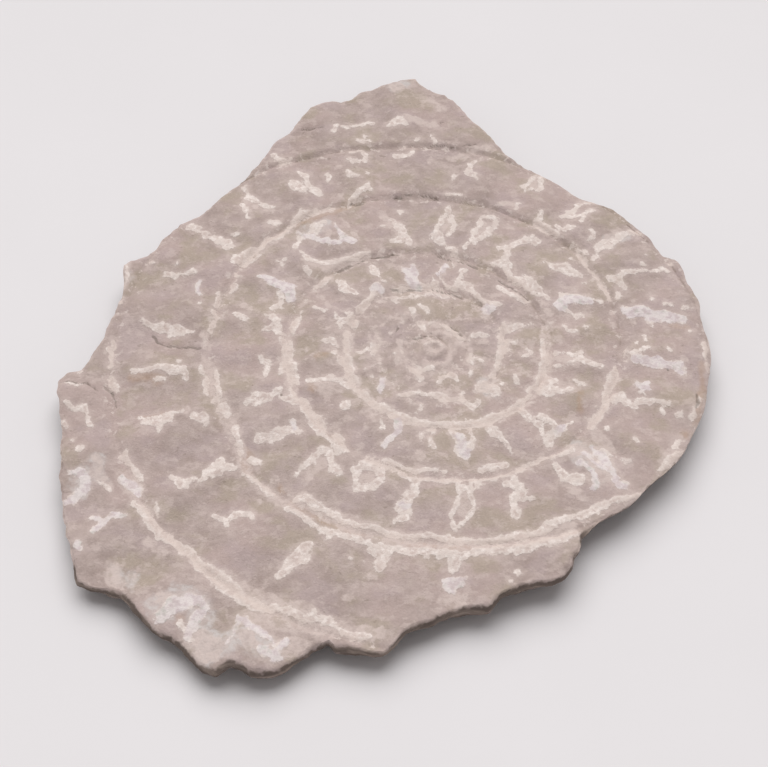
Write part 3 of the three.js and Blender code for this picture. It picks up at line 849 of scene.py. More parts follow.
HUMP_MARKS: tuple[Mark, ...] = (
    film(1.5, (-5.5, 61)),
    film(.8, (-2, 63.5)),
    cream(.3, (-15, 50.8), (-13, 50.9), (-11.5, 51.2), (-10.2, 52), (-9.7, 52)),
    cream(.4, (-15.8, 51, .3), (-16.2, 49.3, .3)),
    cream(.9, (-6, 51.6), (-5.2, 52.2, .8), (-4.4, 51.2, .6)),
    film(1.0, (-3.5, 52.8), (-1, 52), (.5, 51.8)),
    film(.9, (0, 58), (2.5, 56)),
    cream(.3, (-12.2, 47.3), (-11, 47.2, .45), (-10.3, 47.2)),
    cream(.3, (-11, 47.2), (-10.8, 48.3)),
    film(.35, (-14, 46)),
    cream(.32, (-13.2, 44.5), (-12, 44.8), (-10.8, 44), (-10.6, 43), (-11.3, 41.8), (-13, 41.8),
          (-13.5, 42.3)),
    cream(.55, (-2, 47.5)),
    cream(.2, (.8, 49), (.6, 47.8), (1.2, 46.5)),
    cream(.3, (-4.3, 45.8)),
    cream(.4, (-5.5, 43.5), (-3.5, 43.7), (-3, 44.2)),
    film(.3, (0, 42.4), (0, 41.6)),
    film(.7, (4, 43), (9, 45), (11, 45.3)),
    cream(.45, (-26.3, 43.3), (-25.3, 41.9, .6), (-23.5, 42.3)),
    nacre(.45, (-29.3, 39.3)),
    hollow(.2, (-29.5, 38.6)),
    film(.5, (-15.3, 40.7)),
    hollow(.14, (-22, 50.3), (-20, 50), (-18.3, 50.3)),
    hollow(.14, (0, 46.3), (4, 45.9), (8, 45.9)),
    hollow(.14, (2, 52.3), (3, 52.5)),
)

# Marks along the grooves. The pale bands along the front grooves are shell, partly a painted highlight where
# the groove wall faces the lamp. The dark hollow lines along the back grooves are painted shade of the groove
# wall.
SEAM_MARKS: tuple[Mark, ...] = (
    film(1.1, (-34, -4.8), (-33.4, -8), (-32.6, -10.3, .8)),
    film(.9, (-32, -11.5), (-31, -13.5), (-30, -16), (-29, -19)),
    film(.9, (-22.8, 1.5, .6), (-22.3, -2), (-22, -6), (-21.5, -9.5)),
    film(.5, (-34, 11, .3), (-34, 9)),
    film(1.4, (-33, -40.3, .7), (-30.5, -42.5), (-28, -44), (-25.5, -46, 1.0)),
    film(1.0, (-45, -25), (-43.7, -27.5)),
    film(.6, (-43.5, -29.5), (-40.5, -31.5)),
    film(.6, (-41, -36), (-38.5, -38)),
    film(1.0, (-19.5, -28.5), (-16, -31), (-12, -33), (-8, -34.5), (-3, -35.5)),
    film(1.1, (-18, -30.3, .7), (-14, -32.9), (-10, -34.9), (-5, -36.2), (0, -36.9), (5, -36.9), (10, -36.3),
         (15, -34.9), (19, -33.2, .7)),
    film(1.1, (-24.5, -45.6), (-20, -47.2), (-17, -48.6), (-14.5, -49.8)),
    cream(.5, (-23, -46.8), (-20.5, -48), (-18, -49, .7), (-16, -49.3)),
    film(.7, (-25, -27.4), (-22.5, -29.4), (-20, -31)),
    cream(.4, (-17.5, -48.2), (-14.5, -50.2), (-12, -51.7), (-9.5, -51.5)),
    cream(.35, (-14.5, -34.6), (-12.5, -35.6), (-10, -36.4)),
    film(.9, (17.3, 1), (17, -3), (16, -6.5), (14.5, -9.5)),
    film(.8, (17.5, 8.5, .5), (17.8, 5.5), (17.4, 2)),
    film(.9, (-13.3, 3, .5), (-13.2, -1), (-12.8, -4.5), (-11.5, -8), (-9.5, -10.8)),
    film(.7, (-28, 21), (-25, 23.8), (-22.5, 26.8)),
    rust(.5, (-22, 26.8, .3), (-19, 28.6), (-15, 30.5), (-13, 32)),
    hollow(.24, (-15.5, 15.8), (-13.5, 17.3), (-11, 18.8), (-8, 19.8), (-5, 20.2)),
    hollow(.22, (1, 19.8), (4, 18.6), (7, 17.2)),
    hollow(.2, (-14, 31.3), (-11, 32.3)),
    hollow(.2, (-6, 33.5), (-2, 33.8), (1, 33.2)),
    hollow(.22, (-7, 12.3), (-4, 11.9), (0, 12.2), (2.5, 11.5), (4.5, 10.6)),
)

PATCH_MARKS: tuple[Mark, ...] = (
    frost(1.0, (28, 22, .8), (30, 23.6), (31.8, 24.8, .6)),
    frost(.6, (-48.7, 17.5), (-48.4, 14.5)),
    frost(1.1, (-49.5, -22), (-49, -24.5)),
    frost(1.3, (-51.6, -24.4), (-51.4, -27.5)),
    cream(.3, (-49, -25.5), (-47, -27.5, .2)),
    frost(.9, (-45, -40.7, .6), (-44.5, -43)),
    frost(.6, (-43, -41.5), (-42.8, -43.3)),
    frost(1.9, (-38.5, -46.8), (-36, -45.7), (-33.5, -46.7), (-32.5, -49)),
    frost(2.0, (-32.2, -51.8), (-31, -54)),
    frost(1.5, (-37.5, -48.3)),
    cream(.5, (-35.3, -49.6), (-34.4, -51.3), (-33.8, -52.3, .3)),
    frost(1.7, (-26.5, -51.8), (-23.5, -53.5)),
    frost(1.4, (-28.6, -53)),
    nacre(.8, (-24, -54), (-21.5, -55.3, .5)),
    cream(.18, (-44.5, -14), (-41, -13.6), (-37.5, -12.6)),
    cream(.5, (-36, -13.2, .35), (-35, -14.3, .7), (-34, -15.4, .3)),
    nacre(.9, (-25, 13.8, .7), (-23.3, 12.3, 1.1), (-22.4, 10.5, .5)),
    cream(.4, (-26, 6.3, .2), (-24.5, 5.8), (-24, 4.3, .6), (-23.6, 2.8, .3)),
    cream(.3, (-26.3, 4.3, .2), (-24.6, 4.3)),
    film(.6, (-24.5, 8.7)),
    film(.8, (-9.5, -42)),
    nacre(.9, (1.5, -43.5), (2.8, -43.1, .7)),
    film(1.0, (.8, -46), (3, -45.5)),
    cream(.5, (16, -6.5, .3), (17, -7.8, .7), (16.2, -9), (18.5, -8.7), (20.5, -8.3, .3)),
    cream(.7, (19, -15.3, .4), (18, -16.5, .8), (16.5, -18, .4)),
    frost(1.9, (21, -20.5), (23.5, -22.3), (24.8, -24.8, 1.4)),
    nacre(.4, (22, -21), (24.5, -24)),
    nacre(.4, (23.8, -21), (26, -25)),
    nacre(.6, (25.6, -25.6), (27, -26.3, .4)),
    film(.8, (23.8, -16.8), (25.5, -19.5)),
    cream(.35, (25.2, -15.9)),
    cream(.6, (32.6, -23.2, .4), (34.3, -21.6, .8), (35.6, -20.2, .5)),
    film(.5, (27.5, -28.8), (30, -27.2), (33, -24.9)),
    cream(.22, (38.1, -14), (39.1, -11.7), (40, -9.7)),
    film(.9, (19.5, -2.5), (22, -2.6)),
    cream(.3, (24.2, 30.5), (25, 32), (27, 32.6)),
    cream(.6, (30.5, 24.3, .7), (32.5, 25.2, .5), (34.3, 25.5, .25)),
    cream(.25, (25.8, 19), (26.5, 20.3)),
    cream(.9, (13, 14.3, .6), (15, 13.2, 1.1), (16.8, 11.5, .7), (18.2, 10.3, .3)),
    film(1.2, (-29.5, 31.1)),
    film(.8, (-30.5, 33), (-29.8, 30.3)),
    cream(.25, (-31.2, 35.5), (-30.3, 33.8), (-28, 32.2), (-26, 31)),
    cream(.75, (-25.7, 27.4)),
    frost(1.2, (-19.5, 25.5), (-17, 26.5)),
    film(1.1, (-19.5, 17.8), (-16.5, 17.3), (-13.5, 18.3)),
    film(.8, (-6.5, 26.5), (-5, 24)),
    frost(.9, (1, 23.5), (2.3, 26.5, .6)),
    frost(1.3, (-6.3, 61), (-4, 62.3, 1.0)),
    frost(.9, (7.6, -7.2), (8.6, -8.6)),
    nacre(1.1, (-4, 16.3, .6), (-3.4, 14.3), (-2.6, 13.2, .8)),
    cream(.45, (-13.2, 7, .3), (-12.6, 5.8), (-14.8, 5, .3)),
    cream(.5, (-11.8, 8.2), (-10.2, 9.8, .6), (-9, 11, .4)),
    cream(.5, (4.6, 16.3, .3), (4.4, 14.2), (5.5, 12.5), (6.2, 11, .3)),
    cream(.45, (-15, 14, .3), (-13.6, 12.3, .7), (-12.6, 11.6, .5)),
    cream(.5, (10.8, 3.4, .35), (12.5, 4.3), (15, 4.9, .3)),
    film(.5, (-8.6, 3.3, .3), (-9, .5), (-8.3, -2.5)),
    film(.36, (-1.5, -.6), (-1.2, .6), (-.3, 1.2), (.8, 1), (1.3, -.1), (1, -1.3), (-.1, -1.9), (-1.1, -1.5)),
    cream(.2, (-1.3, .3, .1), (-.4, 1.2), (.7, 1), (1.2, 0, .1)),
    film(.6, (-.2, 4.8), (1.3, 4.2), (2.6, 2.8), (3.1, 1.3), (2.8, -.5)),
    cream(.25, (.6, 4.9, .15), (2, 4.2), (3.2, 3, .4), (4.4, 2.1, .3), (5.6, 1.5, .15)),
    cream(.25, (-3, -3.8), (-1.8, -4.4), (-.3, -4.3)),
    film(.5, (1.9, 1.8), (2.9, .4), (2.8, -1.4), (1.8, -3), (.2, -3.6), (-1.4, -3.3)),
    hollow(.1, (2.3, 4.4), (3.6, 3.6), (4.5, 2.5)),
    film(.6, (-5.3, 1.5), (-5.6, -.8), (-5, -3), (-3.5, -4.6)),
    film(.6, (4.9, -3.2), (5.6, -1), (5.3, 1.2)),
    film(.5, (-.3, -5), (2, -4.6), (3.5, -4)),
)

ALL_MARKS: tuple[Mark, ...] = (
    CENTRE_MARKS + FRONT_MARKS + RIGHT_MARKS + BACK_RIGHT_MARKS + BACK_LEFT_MARKS
    + LEFT_MARKS + CORNER_MARKS + HUMP_MARKS + SEAM_MARKS + PATCH_MARKS)


# --------------------------------------------------------------------------------------------------
# Nodes
# --------------------------------------------------------------------------------------------------

class NodeSheet:
    """Lays nodes in one material or node group, from left to right, and wires them."""

    SPACING = 180

    def __init__(self, tree: bpy.types.NodeTree) -> None:
        """Start on an empty tree.

        Args:
            tree: Node tree to fill.
        """
        self.tree = tree
        self.tree.nodes.clear()
        self.count = 0

    def add(self, kind: str, inputs: dict | None = None, **settings: object) -> bpy.types.Node:
        """Add one node.

        Args:
            kind: Type name of the node.
            inputs: Socket names or numbers, each with a value or the output to wire to it.
            **settings: Properties of the node.

        Returns:
            The node.
        """
        node = self.tree.nodes.new(kind)
        node.location = (self.count * self.SPACING, -(self.count % 5) * self.SPACING)
        self.count += 1
        for name, value in settings.items():
            setattr(node, name, value)
        for name, value in (inputs or {}).items():
            if isinstance(value, Socket):
                self.tree.links.new(value, node.inputs[name])
            else:
                node.inputs[name].default_value = value
        return node

    def math(self, operation: str, *values: object) -> Socket:
        """Do arithmetic on values and sockets, and return the result's socket."""
        node = self.add("ShaderNodeMath", dict(enumerate(values)), operation=operation)
        return node.outputs[0]

    def ease(self, value: object, low: float | Socket, high: float | Socket,
             start: float = 0.0, end: float = 1.0) -> Socket:
        """Ease a value from start, at low, to end, at high.

        Args:
            value: Value or socket to ease.
            low: Where the result is start.
            high: Where the result is end.
            start: First result.
            end: Last result.

        Returns:
            The result's socket.
        """
        inputs = {"Value": value, "From Min": low, "From Max": high, "To Min": start, "To Max": end}
        return self.add("ShaderNodeMapRange", inputs, interpolation_type="SMOOTHSTEP").outputs[0]

    def noise(self, place: Socket, scale: object, detail: float = 3.0,
              roughness: float = 0.55) -> Socket:
        """Noise between 0 and 1.

        Args:
            place: Socket of the places, in millimetres.
            scale: Bumps to a millimetre.
            detail: Number of finer layers.
            roughness: Strength of each finer layer.

        Returns:
            The noise's socket.
        """
        inputs = {"Vector": place, "Scale": scale, "Detail": detail, "Roughness": roughness}
        return self.add("ShaderNodeTexNoise", inputs).outputs[0]

    def blend(self, share: object, first: object, second: object) -> Socket:
        """Blend two colours.

        Args:
            share: Share of the second colour.
            first: First colour.
            second: Second colour.

        Returns:
            The colour's socket.
        """
        node = self.add("ShaderNodeMix", data_type="RGBA", clamp_factor=True)
        for socket, value in ((node.inputs[0], share), (node.inputs[6], first), (node.inputs[7], second)):
            if isinstance(value, Socket):
                self.tree.links.new(value, socket)
            else:
                socket.default_value = value
        return node.outputs[2]

    def attribute(self, name: str) -> Socket:
        """Socket of a number that the mesh holds at each of its points."""
        return self.add("ShaderNodeAttribute", attribute_name=name).outputs["Fac"]

    def stretch(self, place: Socket, scale: tuple[float, float, float],
                shift: tuple[float, float, float] = (0.0, 0.0, 0.0)) -> Socket:
        """Scale places along each axis, and then move them.

        Args:
            place: Socket of the places.
            scale: Factor along X, Y and Z.
            shift: Move along X, Y and Z.

        Returns:
            The socket of the new places.
        """
        return self.add("ShaderNodeMapping", {"Vector": place, "Scale": scale, "Location": shift}).outputs[0]

    def millimetres(self) -> Socket:
        """Places on the object, in millimetres."""
        spot = self.add("ShaderNodeTexCoord").outputs["Object"]
        return self.stretch(spot, (1 / MM, 1 / MM, 1 / MM))


def new_group(name: str, inputs: dict[str, object], outputs: tuple[str, ...]) -> tuple[NodeSheet, dict]:
    """Start a shader node group.

    Args:
        name: Name of the group.
        inputs: Name of each input with its value at first. A tuple makes a vector input.
        outputs: Names of the outputs, which are all numbers.

    Returns:
        The sheet to draw the group on, and its input sockets by name.
    """
    tree = bpy.data.node_groups.new(name, "ShaderNodeTree")
    for label, value in inputs.items():
        kind = "NodeSocketVector" if isinstance(value, tuple) else "NodeSocketFloat"
        socket = tree.interface.new_socket(label, in_out="INPUT", socket_type=kind)
        socket.default_value = value
    for label in outputs:
        tree.interface.new_socket(label, in_out="OUTPUT", socket_type="NodeSocketFloat")
    sheet = NodeSheet(tree)
    entry = sheet.add("NodeGroupInput")
    return sheet, {label: entry.outputs[label] for label in inputs}


def ragged_edge_group() -> bpy.types.NodeTree:
    """Frayed edge of a flake, film or stain, from the smooth distance to its stroke.

    Returns:
        The group. Inside is 1 within the flake, and Rim is 1 along the inside of its edge.
    """
    sheet, entry = new_group(
        "ragged_edge",
        {"Gap": 0.0, "Place": (0.0, 0.0, 0.0), "Fray": 0.3, "Fineness": 1.0, "Softness": 0.1,
         "Rim width": 0.3},
        ("Inside", "Rim", "Frayed gap"))
    noise = sheet.noise(entry["Place"], entry["Fineness"], detail=3.0, roughness=0.6)
    swing = sheet.math("MULTIPLY", entry["Fray"], 3.0)
    offset = sheet.math("MULTIPLY", sheet.math("SUBTRACT", noise, 0.5), swing)
    frayed = sheet.math("ADD", entry["Gap"], offset)
    inside = sheet.ease(frayed, entry["Softness"], sheet.math("MULTIPLY", entry["Softness"], -1.0))
    deep = sheet.ease(sheet.math("ADD", frayed, entry["Rim width"]), 0.15, -0.15)
    rim = sheet.math("MULTIPLY", inside, sheet.math("SUBTRACT", 1.0, deep))
    sheet.add("NodeGroupOutput", {"Inside": inside, "Rim": rim, "Frayed gap": frayed})
    return sheet.tree


def mottle_group() -> bpy.types.NodeTree:
    """Cloudy change of tone at two sizes, for stone and for the table.

    Returns:
        The group. Clouds and Grain are between 0 and 1.
    """
    sheet, entry = new_group(
        "mottle", {"Place": (0.0, 0.0, 0.0), "Cloud size": 8.0, "Grain size": 0.3}, ("Clouds", "Grain"))
    cloud_scale = sheet.math("DIVIDE", 1.0, entry["Cloud size"])
    clouds = sheet.noise(entry["Place"], cloud_scale, detail=5.0, roughness=0.6)
    grain_scale = sheet.math("DIVIDE", 1.0, entry["Grain size"])
    grain = sheet.noise(entry["Place"], grain_scale, detail=3.0, roughness=0.6)
    sheet.add("NodeGroupOutput", {
        "Clouds": sheet.ease(clouds, 0.3, 0.7), "Grain": sheet.ease(grain, 0.28, 0.72)})
    return sheet.tree


class Paint(NamedTuple):
    """Sockets of a surface's colour and height."""

    colour: Socket
    height: Socket


@dataclass(frozen=True)
class Brush:
    """What every layer of paint needs: its sheet, its places and the noises that the layers share."""

    sheet: NodeSheet
    place: Socket
    ragged: bpy.types.NodeTree
    patchy: Socket
    uneven: Socket
    seam: Socket

    @classmethod
    def on(cls, sheet: NodeSheet, ragged: bpy.types.NodeTree) -> "Brush":
        """Set up a brush.

        Args:
            sheet: Sheet the nodes go on.
            ragged: Group that frays the edge of a mark.

        Returns:
            The brush.
        """
        place = sheet.millimetres()
        patchy = sheet.noise(place, 0.35, detail=3.0)
        uneven = sheet.noise(place, 0.9, detail=4.0)
        return cls(sheet, place, ragged, patchy, uneven, sheet.attribute("groove_gap"))

    def frayed(self, name: str, fray: float, fineness: float, softness: float,
               rim: float = 0.3) -> bpy.types.Node:
        """Fray the edges of one kind of mark.

        Args:
            name: Attribute with the distance to the marks.
            fray: How far the edge wanders, in millimetres.
            fineness: Ups and downs of the edge to a millimetre.
            softness: Width over which the edge fades, in millimetres.
            rim: Width of the rim inside the edge, in millimetres.

        Returns:
            The node of the ragged edge group.
        """
        inputs = {"Gap": self.sheet.attribute(name), "Place": self.place, "Fray": fray,
                  "Fineness": fineness, "Softness": softness, "Rim width": rim}
        return self.sheet.add("ShaderNodeGroup", inputs, node_tree=self.ragged)

    def layer(self, share: Socket, strength: float | Socket, under: Colour | Socket,
              over: Colour | Socket) -> Socket:
        """Lay a colour over another.

        Args:
            share: Where the new colour goes, from 0 to 1.
            strength: How strong it is there.
            under: Colour so far.
            over: New colour.

        Returns:
            The colour's socket.
        """
        return self.sheet.blend(self.sheet.math("MULTIPLY", share, strength), under, over)


@dataclass(frozen=True)
class StoneFinish:
    """Dull grey-brown limestone with flakes of cream and lilac shell."""

    light: Colour = (0.595, 0.478, 0.442, 1.0)
    dark: Colour = (0.425, 0.328, 0.297, 1.0)
    pink: Colour = (0.555, 0.425, 0.395, 1.0)
    olive: Colour = (0.47, 0.385, 0.305, 1.0)
    mauve: Colour = (0.53, 0.415, 0.415, 1.0)
    cream_rim: Colour = (0.80, 0.687, 0.632, 1.0)
    cream_heart: Colour = (0.675, 0.545, 0.495, 1.0)
    cream_bright: Colour = (0.93, 0.822, 0.768, 1.0)
    seam_cream: Colour = (0.717, 0.584, 0.525, 1.0)
    pearl_white: Colour = (0.825, 0.737, 0.72, 1.0)
    pearl_lilac: Colour = (0.71, 0.604, 0.618, 1.0)
    pearl_green: Colour = (0.585, 0.56, 0.51, 1.0)
    film_pale: Colour = (0.683, 0.56, 0.515, 1.0)
    frost_grey: Colour = (0.678, 0.62, 0.60, 1.0)
    rust_brown: Colour = (0.46, 0.29, 0.18, 1.0)
    # Dark brown for specks in the stone, and for the painted shade along the grooves.
    speck_and_groove_shade_brown: Colour = (0.27, 0.205, 0.165, 1.0)
    # Near black for the dark grain of the stone, and for the painted shade inside pits and cracks.
    grain_and_pit_shade_dark: Colour = (0.17, 0.135, 0.11, 1.0)
    # Dark and light layers of the broken wall, both dark as painted shade.
    wall_shade_dark: Colour = (0.115, 0.085, 0.07, 1.0)
    wall_shade_light: Colour = (0.27, 0.21, 0.178, 1.0)
    roughness: float = 0.86
    shell_roughness: float = 0.62
    core: float = 34.0
    bedding: tuple[float, float, float] = (0.85, 1.08, 1.0)
    wall_bedding: tuple[float, float, float] = (0.25, 0.25, 2.2)
    wisp_shift: tuple[float, float, float] = (31.0, 7.0, 0.0)
    grain_height: float = 0.035
    streak_height: float = 0.12
    crumb_height: float = 0.12
    flake_height: float = 0.045
    bump_strength: float = 0.8

    def rock(self, sheet: NodeSheet, place: Socket, mottle: bpy.types.NodeTree) -> Paint:
        """Paint the bare stone: clouds, fine streaks along the bedding, dark specks, pale wisps and painted
        light that makes the centre lighter and the rim darker.

        Args:
            sheet: Sheet the nodes go on.
            place: Places, in millimetres.
            mottle: Group that gives cloudy tone.

        Returns:
            The colour with the height of its grain.
        """
        sizes = {"Place": place, "Cloud size": 6.0, "Grain size": 0.3}
        tone = sheet.add("ShaderNodeGroup", sizes, node_tree=mottle)
        lanes = sheet.stretch(place, self.bedding)
        streaks = sheet.noise(lanes, 0.5, detail=5.0, roughness=0.68)
        clouds = sheet.math("MULTIPLY", tone.outputs["Clouds"], 0.55)
        tint = sheet.math("ADD", clouds, sheet.ease(streaks, 0.34, 0.66, 0.0, 0.48))
        away = sheet.add("ShaderNodeVectorMath", {0: place}, operation="LENGTH").outputs["Value"]
        # Painted light: the stone is lighter at the centre and darker towards the rim.
        tint = sheet.math("ADD", tint, sheet.ease(away, 10.0, 50.0, 0.12, -0.08))
        colour = sheet.blend(tint, self.dark, self.light)
        blush = sheet.ease(sheet.noise(place, 0.09, detail=2.0), 0.45, 0.65, 0.0, 0.65)
        colour = sheet.blend(blush, colour, self.pink)
        stain = sheet.noise(lanes, 0.16, detail=4.0)
        colour = sheet.blend(sheet.ease(stain, 0.5, 0.64, 0.0, 0.65), colour, self.olive)
        colour = sheet.blend(sheet.ease(stain, 0.47, 0.36, 0.0, 0.4), colour, self.mauve)
        colour = sheet.blend(sheet.ease(tone.outputs["Grain"], 0.0, 1.0, 0.1, 0.0), colour, self.grain_and_pit_shade_dark)
        specks = sheet.ease(sheet.noise(lanes, 1.0, detail=3.0, roughness=0.6), 0.64, 0.72, 0.0, 0.45)
        colour = sheet.blend(specks, colour, self.speck_and_groove_shade_brown)
        moved = sheet.stretch(lanes, (1.0, 1.0, 1.0), self.wisp_shift)
        wisp = sheet.ease(sheet.noise(moved, 0.55, detail=5.0, roughness=0.7), 0.51, 0.62)
        wisps = sheet.math("MULTIPLY", wisp, sheet.ease(away, self.core, 8.0, 0.42, 0.8))
        colour = sheet.blend(wisps, colour, self.film_pale)
        height = sheet.math("MULTIPLY", tone.outputs["Grain"], self.grain_height)
        height = sheet.math("ADD", height, sheet.math("MULTIPLY", streaks, self.streak_height))
        return Paint(colour, height)

    def stains(self, brush: Brush, colour: Socket) -> Socket:
        """Paint what lies thin on the stone: painted shade along the grooves, rust, frosted shell, pale film
        and dust of shell.

        Args:
            brush: Brush for the stone.
            colour: Colour so far.

        Returns:
            The new colour.
        """
        sheet = brush.sheet
        # Painted shade: a broken dark brown line along the grooves, where the groove wall falls in shade.
        broken_line = sheet.ease(brush.patchy, 0.58, 0.42, 0.0, 0.5)
        colour = brush.layer(sheet.ease(brush.seam, 0.4, 0.05), broken_line, colour, self.speck_and_groove_shade_brown)
        rust = brush.frayed("rust_gap", 0.6, 0.8, 0.6)
        colour = brush.layer(rust.outputs["Inside"], 0.4, colour, self.rust_brown)
        frost = brush.frayed("frost_gap", 1.3, 0.35, 0.6)
        cloudy = sheet.ease(brush.uneven, 0.36, 0.62, 0.25, 0.85)
        colour = brush.layer(frost.outputs["Inside"], cloudy, colour, self.frost_grey)
        film = brush.frayed("film_gap", 0.9, 0.6, 0.35)
        thin = sheet.ease(brush.uneven, 0.35, 0.58, 0.3, 0.9)
        colour = brush.layer(film.outputs["Inside"], thin, colour, self.film_pale)
        dust = sheet.ease(sheet.noise(brush.place, 0.85, detail=4.0, roughness=0.62), 0.56, 0.64)
        return brush.layer(dust, sheet.ease(brush.seam, 2.2, 0.5, 0.1, 0.6), colour, self.cream_rim)

    def flakes(self, brush: Brush, shell: bpy.types.Node, colour: Socket) -> Socket:
        """Paint the flakes of shell, cream with pale rims, or lilac where the mother of pearl is left.

        Args:
            brush: Brush for the stone.
            shell: Node of the flakes' ragged edges.
            colour: Colour so far.

        Returns:
            The new colour.
        """
        sheet = brush.sheet
        pearl = brush.frayed("nacre_gap", 0.6, 0.8, 0.3)
        halo = sheet.ease(shell.outputs["Frayed gap"], 1.0, 0.1, 0.0, 0.3)
        colour = sheet.blend(halo, colour, self.film_pale)
        flake = sheet.blend(sheet.ease(brush.uneven, 0.36, 0.6), self.cream_heart, self.cream_rim)
        flake = brush.layer(shell.outputs["Rim"], 0.8, flake, self.cream_rim)
        fleck = sheet.ease(sheet.noise(brush.place, 1.3, detail=3.0), 0.5, 0.62, 0.0, 0.85)
        flake = sheet.blend(fleck, flake, self.cream_bright)
        flake = brush.layer(sheet.ease(brush.seam, 1.7, 0.6), 0.7, flake, self.seam_cream)
        sheen = sheet.blend(sheet.ease(brush.uneven, 0.42, 0.56), self.pearl_lilac, self.pearl_white)
        green = sheet.ease(sheet.noise(brush.place, 0.6, detail=3.0), 0.56, 0.68, 0.0, 0.8)
        sheen = sheet.blend(green, sheen, self.pearl_green)
        flake = brush.layer(pearl.outputs["Inside"], 0.85, flake, sheen)
        worn_thin = sheet.ease(brush.uneven, 0.3, 0.5, 0.62, 0.95)
        fading = sheet.math("MULTIPLY", worn_thin, sheet.ease(brush.patchy, 0.3, 0.5, 0.7, 1.0))
        return brush.layer(shell.outputs["Inside"], fading, colour, flake)

    def breaks(self, brush: Brush, colour: Socket) -> Socket:
        """Paint the pale worn edge, the dark pits and the layered dark rock of the broken wall.

        Args:
            brush: Brush for the stone.
            colour: Colour so far.

        Returns:
            The new colour.
        """
        # Paint the pale worn edge, the painted shade inside pits and cracks, and the layered rock of the
        # broken wall, darkened with painted shade.
        sheet = brush.sheet
        edge = sheet.ease(sheet.attribute("edge_gap"), 0.7, 0.05)
        colour = brush.layer(edge, sheet.ease(brush.uneven, 0.42, 0.6, 0.0, 0.5), colour, self.film_pale)
        # Painted shade: pits and cracks are painted near black inside.
        pit = brush.frayed("hollow_gap", 0.12, 1.5, 0.14)
        colour = brush.layer(pit.outputs["Inside"], 0.6, colour, self.grain_and_pit_shade_dark)
        # Painted shade: the broken wall, the underside and the sloping front break are painted dark brown,
        # with layers along the bedding.
        layers = sheet.noise(sheet.stretch(brush.place, self.wall_bedding), 0.8, detail=4.0)
        wall_shade_tone = sheet.blend(sheet.ease(layers, 0.4, 0.68), self.wall_shade_dark, self.wall_shade_light)
        broken = sheet.math("ADD", sheet.attribute("wall"), sheet.ease(brush.uneven, 0.3, 0.7, -0.3, 0.3))
        return sheet.blend(sheet.ease(broken, 0.15, 0.85, 0.0, 0.92), colour, wall_shade_tone)

    def material(self, ragged: bpy.types.NodeTree, mottle: bpy.types.NodeTree) -> bpy.types.Material:
        """Make the material.

        Args:
            ragged: Group that frays the edge of a mark.
            mottle: Group that gives cloudy tone.

        Returns:
            The material.
        """
        made = bpy.data.materials.new("limestone_and_shell")
        made.use_nodes = True
        sheet = NodeSheet(made.node_tree)
        brush = Brush.on(sheet, ragged)
        stone = self.rock(sheet, brush.place, mottle)
        shell = brush.frayed("shell_gap", 0.5, 0.95, 0.15, 0.34)
        colour = self.stains(brush, stone.colour)
        colour = self.flakes(brush, shell, colour)
        colour = self.breaks(brush, colour)
        rough = sheet.ease(shell.outputs["Inside"], 0.0, 1.0, self.roughness, self.shell_roughness)
        crumb = sheet.math("MULTIPLY", sheet.noise(brush.place, 1.1, detail=4.0), self.crumb_height)
        flake_top = sheet.math("MULTIPLY", shell.outputs["Inside"], self.flake_height)
        height = sheet.math("ADD", sheet.math("ADD", stone.height, crumb), flake_top)
        bump = sheet.add("ShaderNodeBump", {"Height": height, "Strength": self.bump_strength, "Distance": MM})
        shader = sheet.add("ShaderNodeBsdfPrincipled", {
            "Base Color": colour, "Roughness": rough, "Normal": bump.outputs[0],
            "Specular IOR Level": 0.35})
        sheet.add("ShaderNodeOutputMaterial", {"Surface": shader.outputs[0]})
        return made


@dataclass(frozen=True)
class TableFinish:
    """Matt white paper under the fossil."""

    white: Colour = (0.84, 0.807, 0.815, 1.0)
    shade: Colour = (0.825, 0.793, 0.80, 1.0)

    def material(self, mottle: bpy.types.NodeTree) -> bpy.types.Material:
        """Make the material.

        Args:
            mottle: Group that gives cloudy tone.

        Returns:
            The material.
        """
        made = bpy.data.materials.new("white_paper")
        made.use_nodes = True
        sheet = NodeSheet(made.node_tree)
        sizes = {"Place": sheet.millimetres(), "Cloud size": 60.0, "Grain size": 1.0}
        tone = sheet.add("ShaderNodeGroup", sizes, node_tree=mottle)
        colour = sheet.blend(tone.outputs["Clouds"], self.shade, self.white)
        shader = sheet.add("ShaderNodeBsdfPrincipled", {"Base Color": colour, "Roughness": 0.9})
        sheet.add("ShaderNodeOutputMaterial", {"Surface": shader.outputs[0]})
        return made


# --------------------------------------------------------------------------------------------------
# The slab
# --------------------------------------------------------------------------------------------------

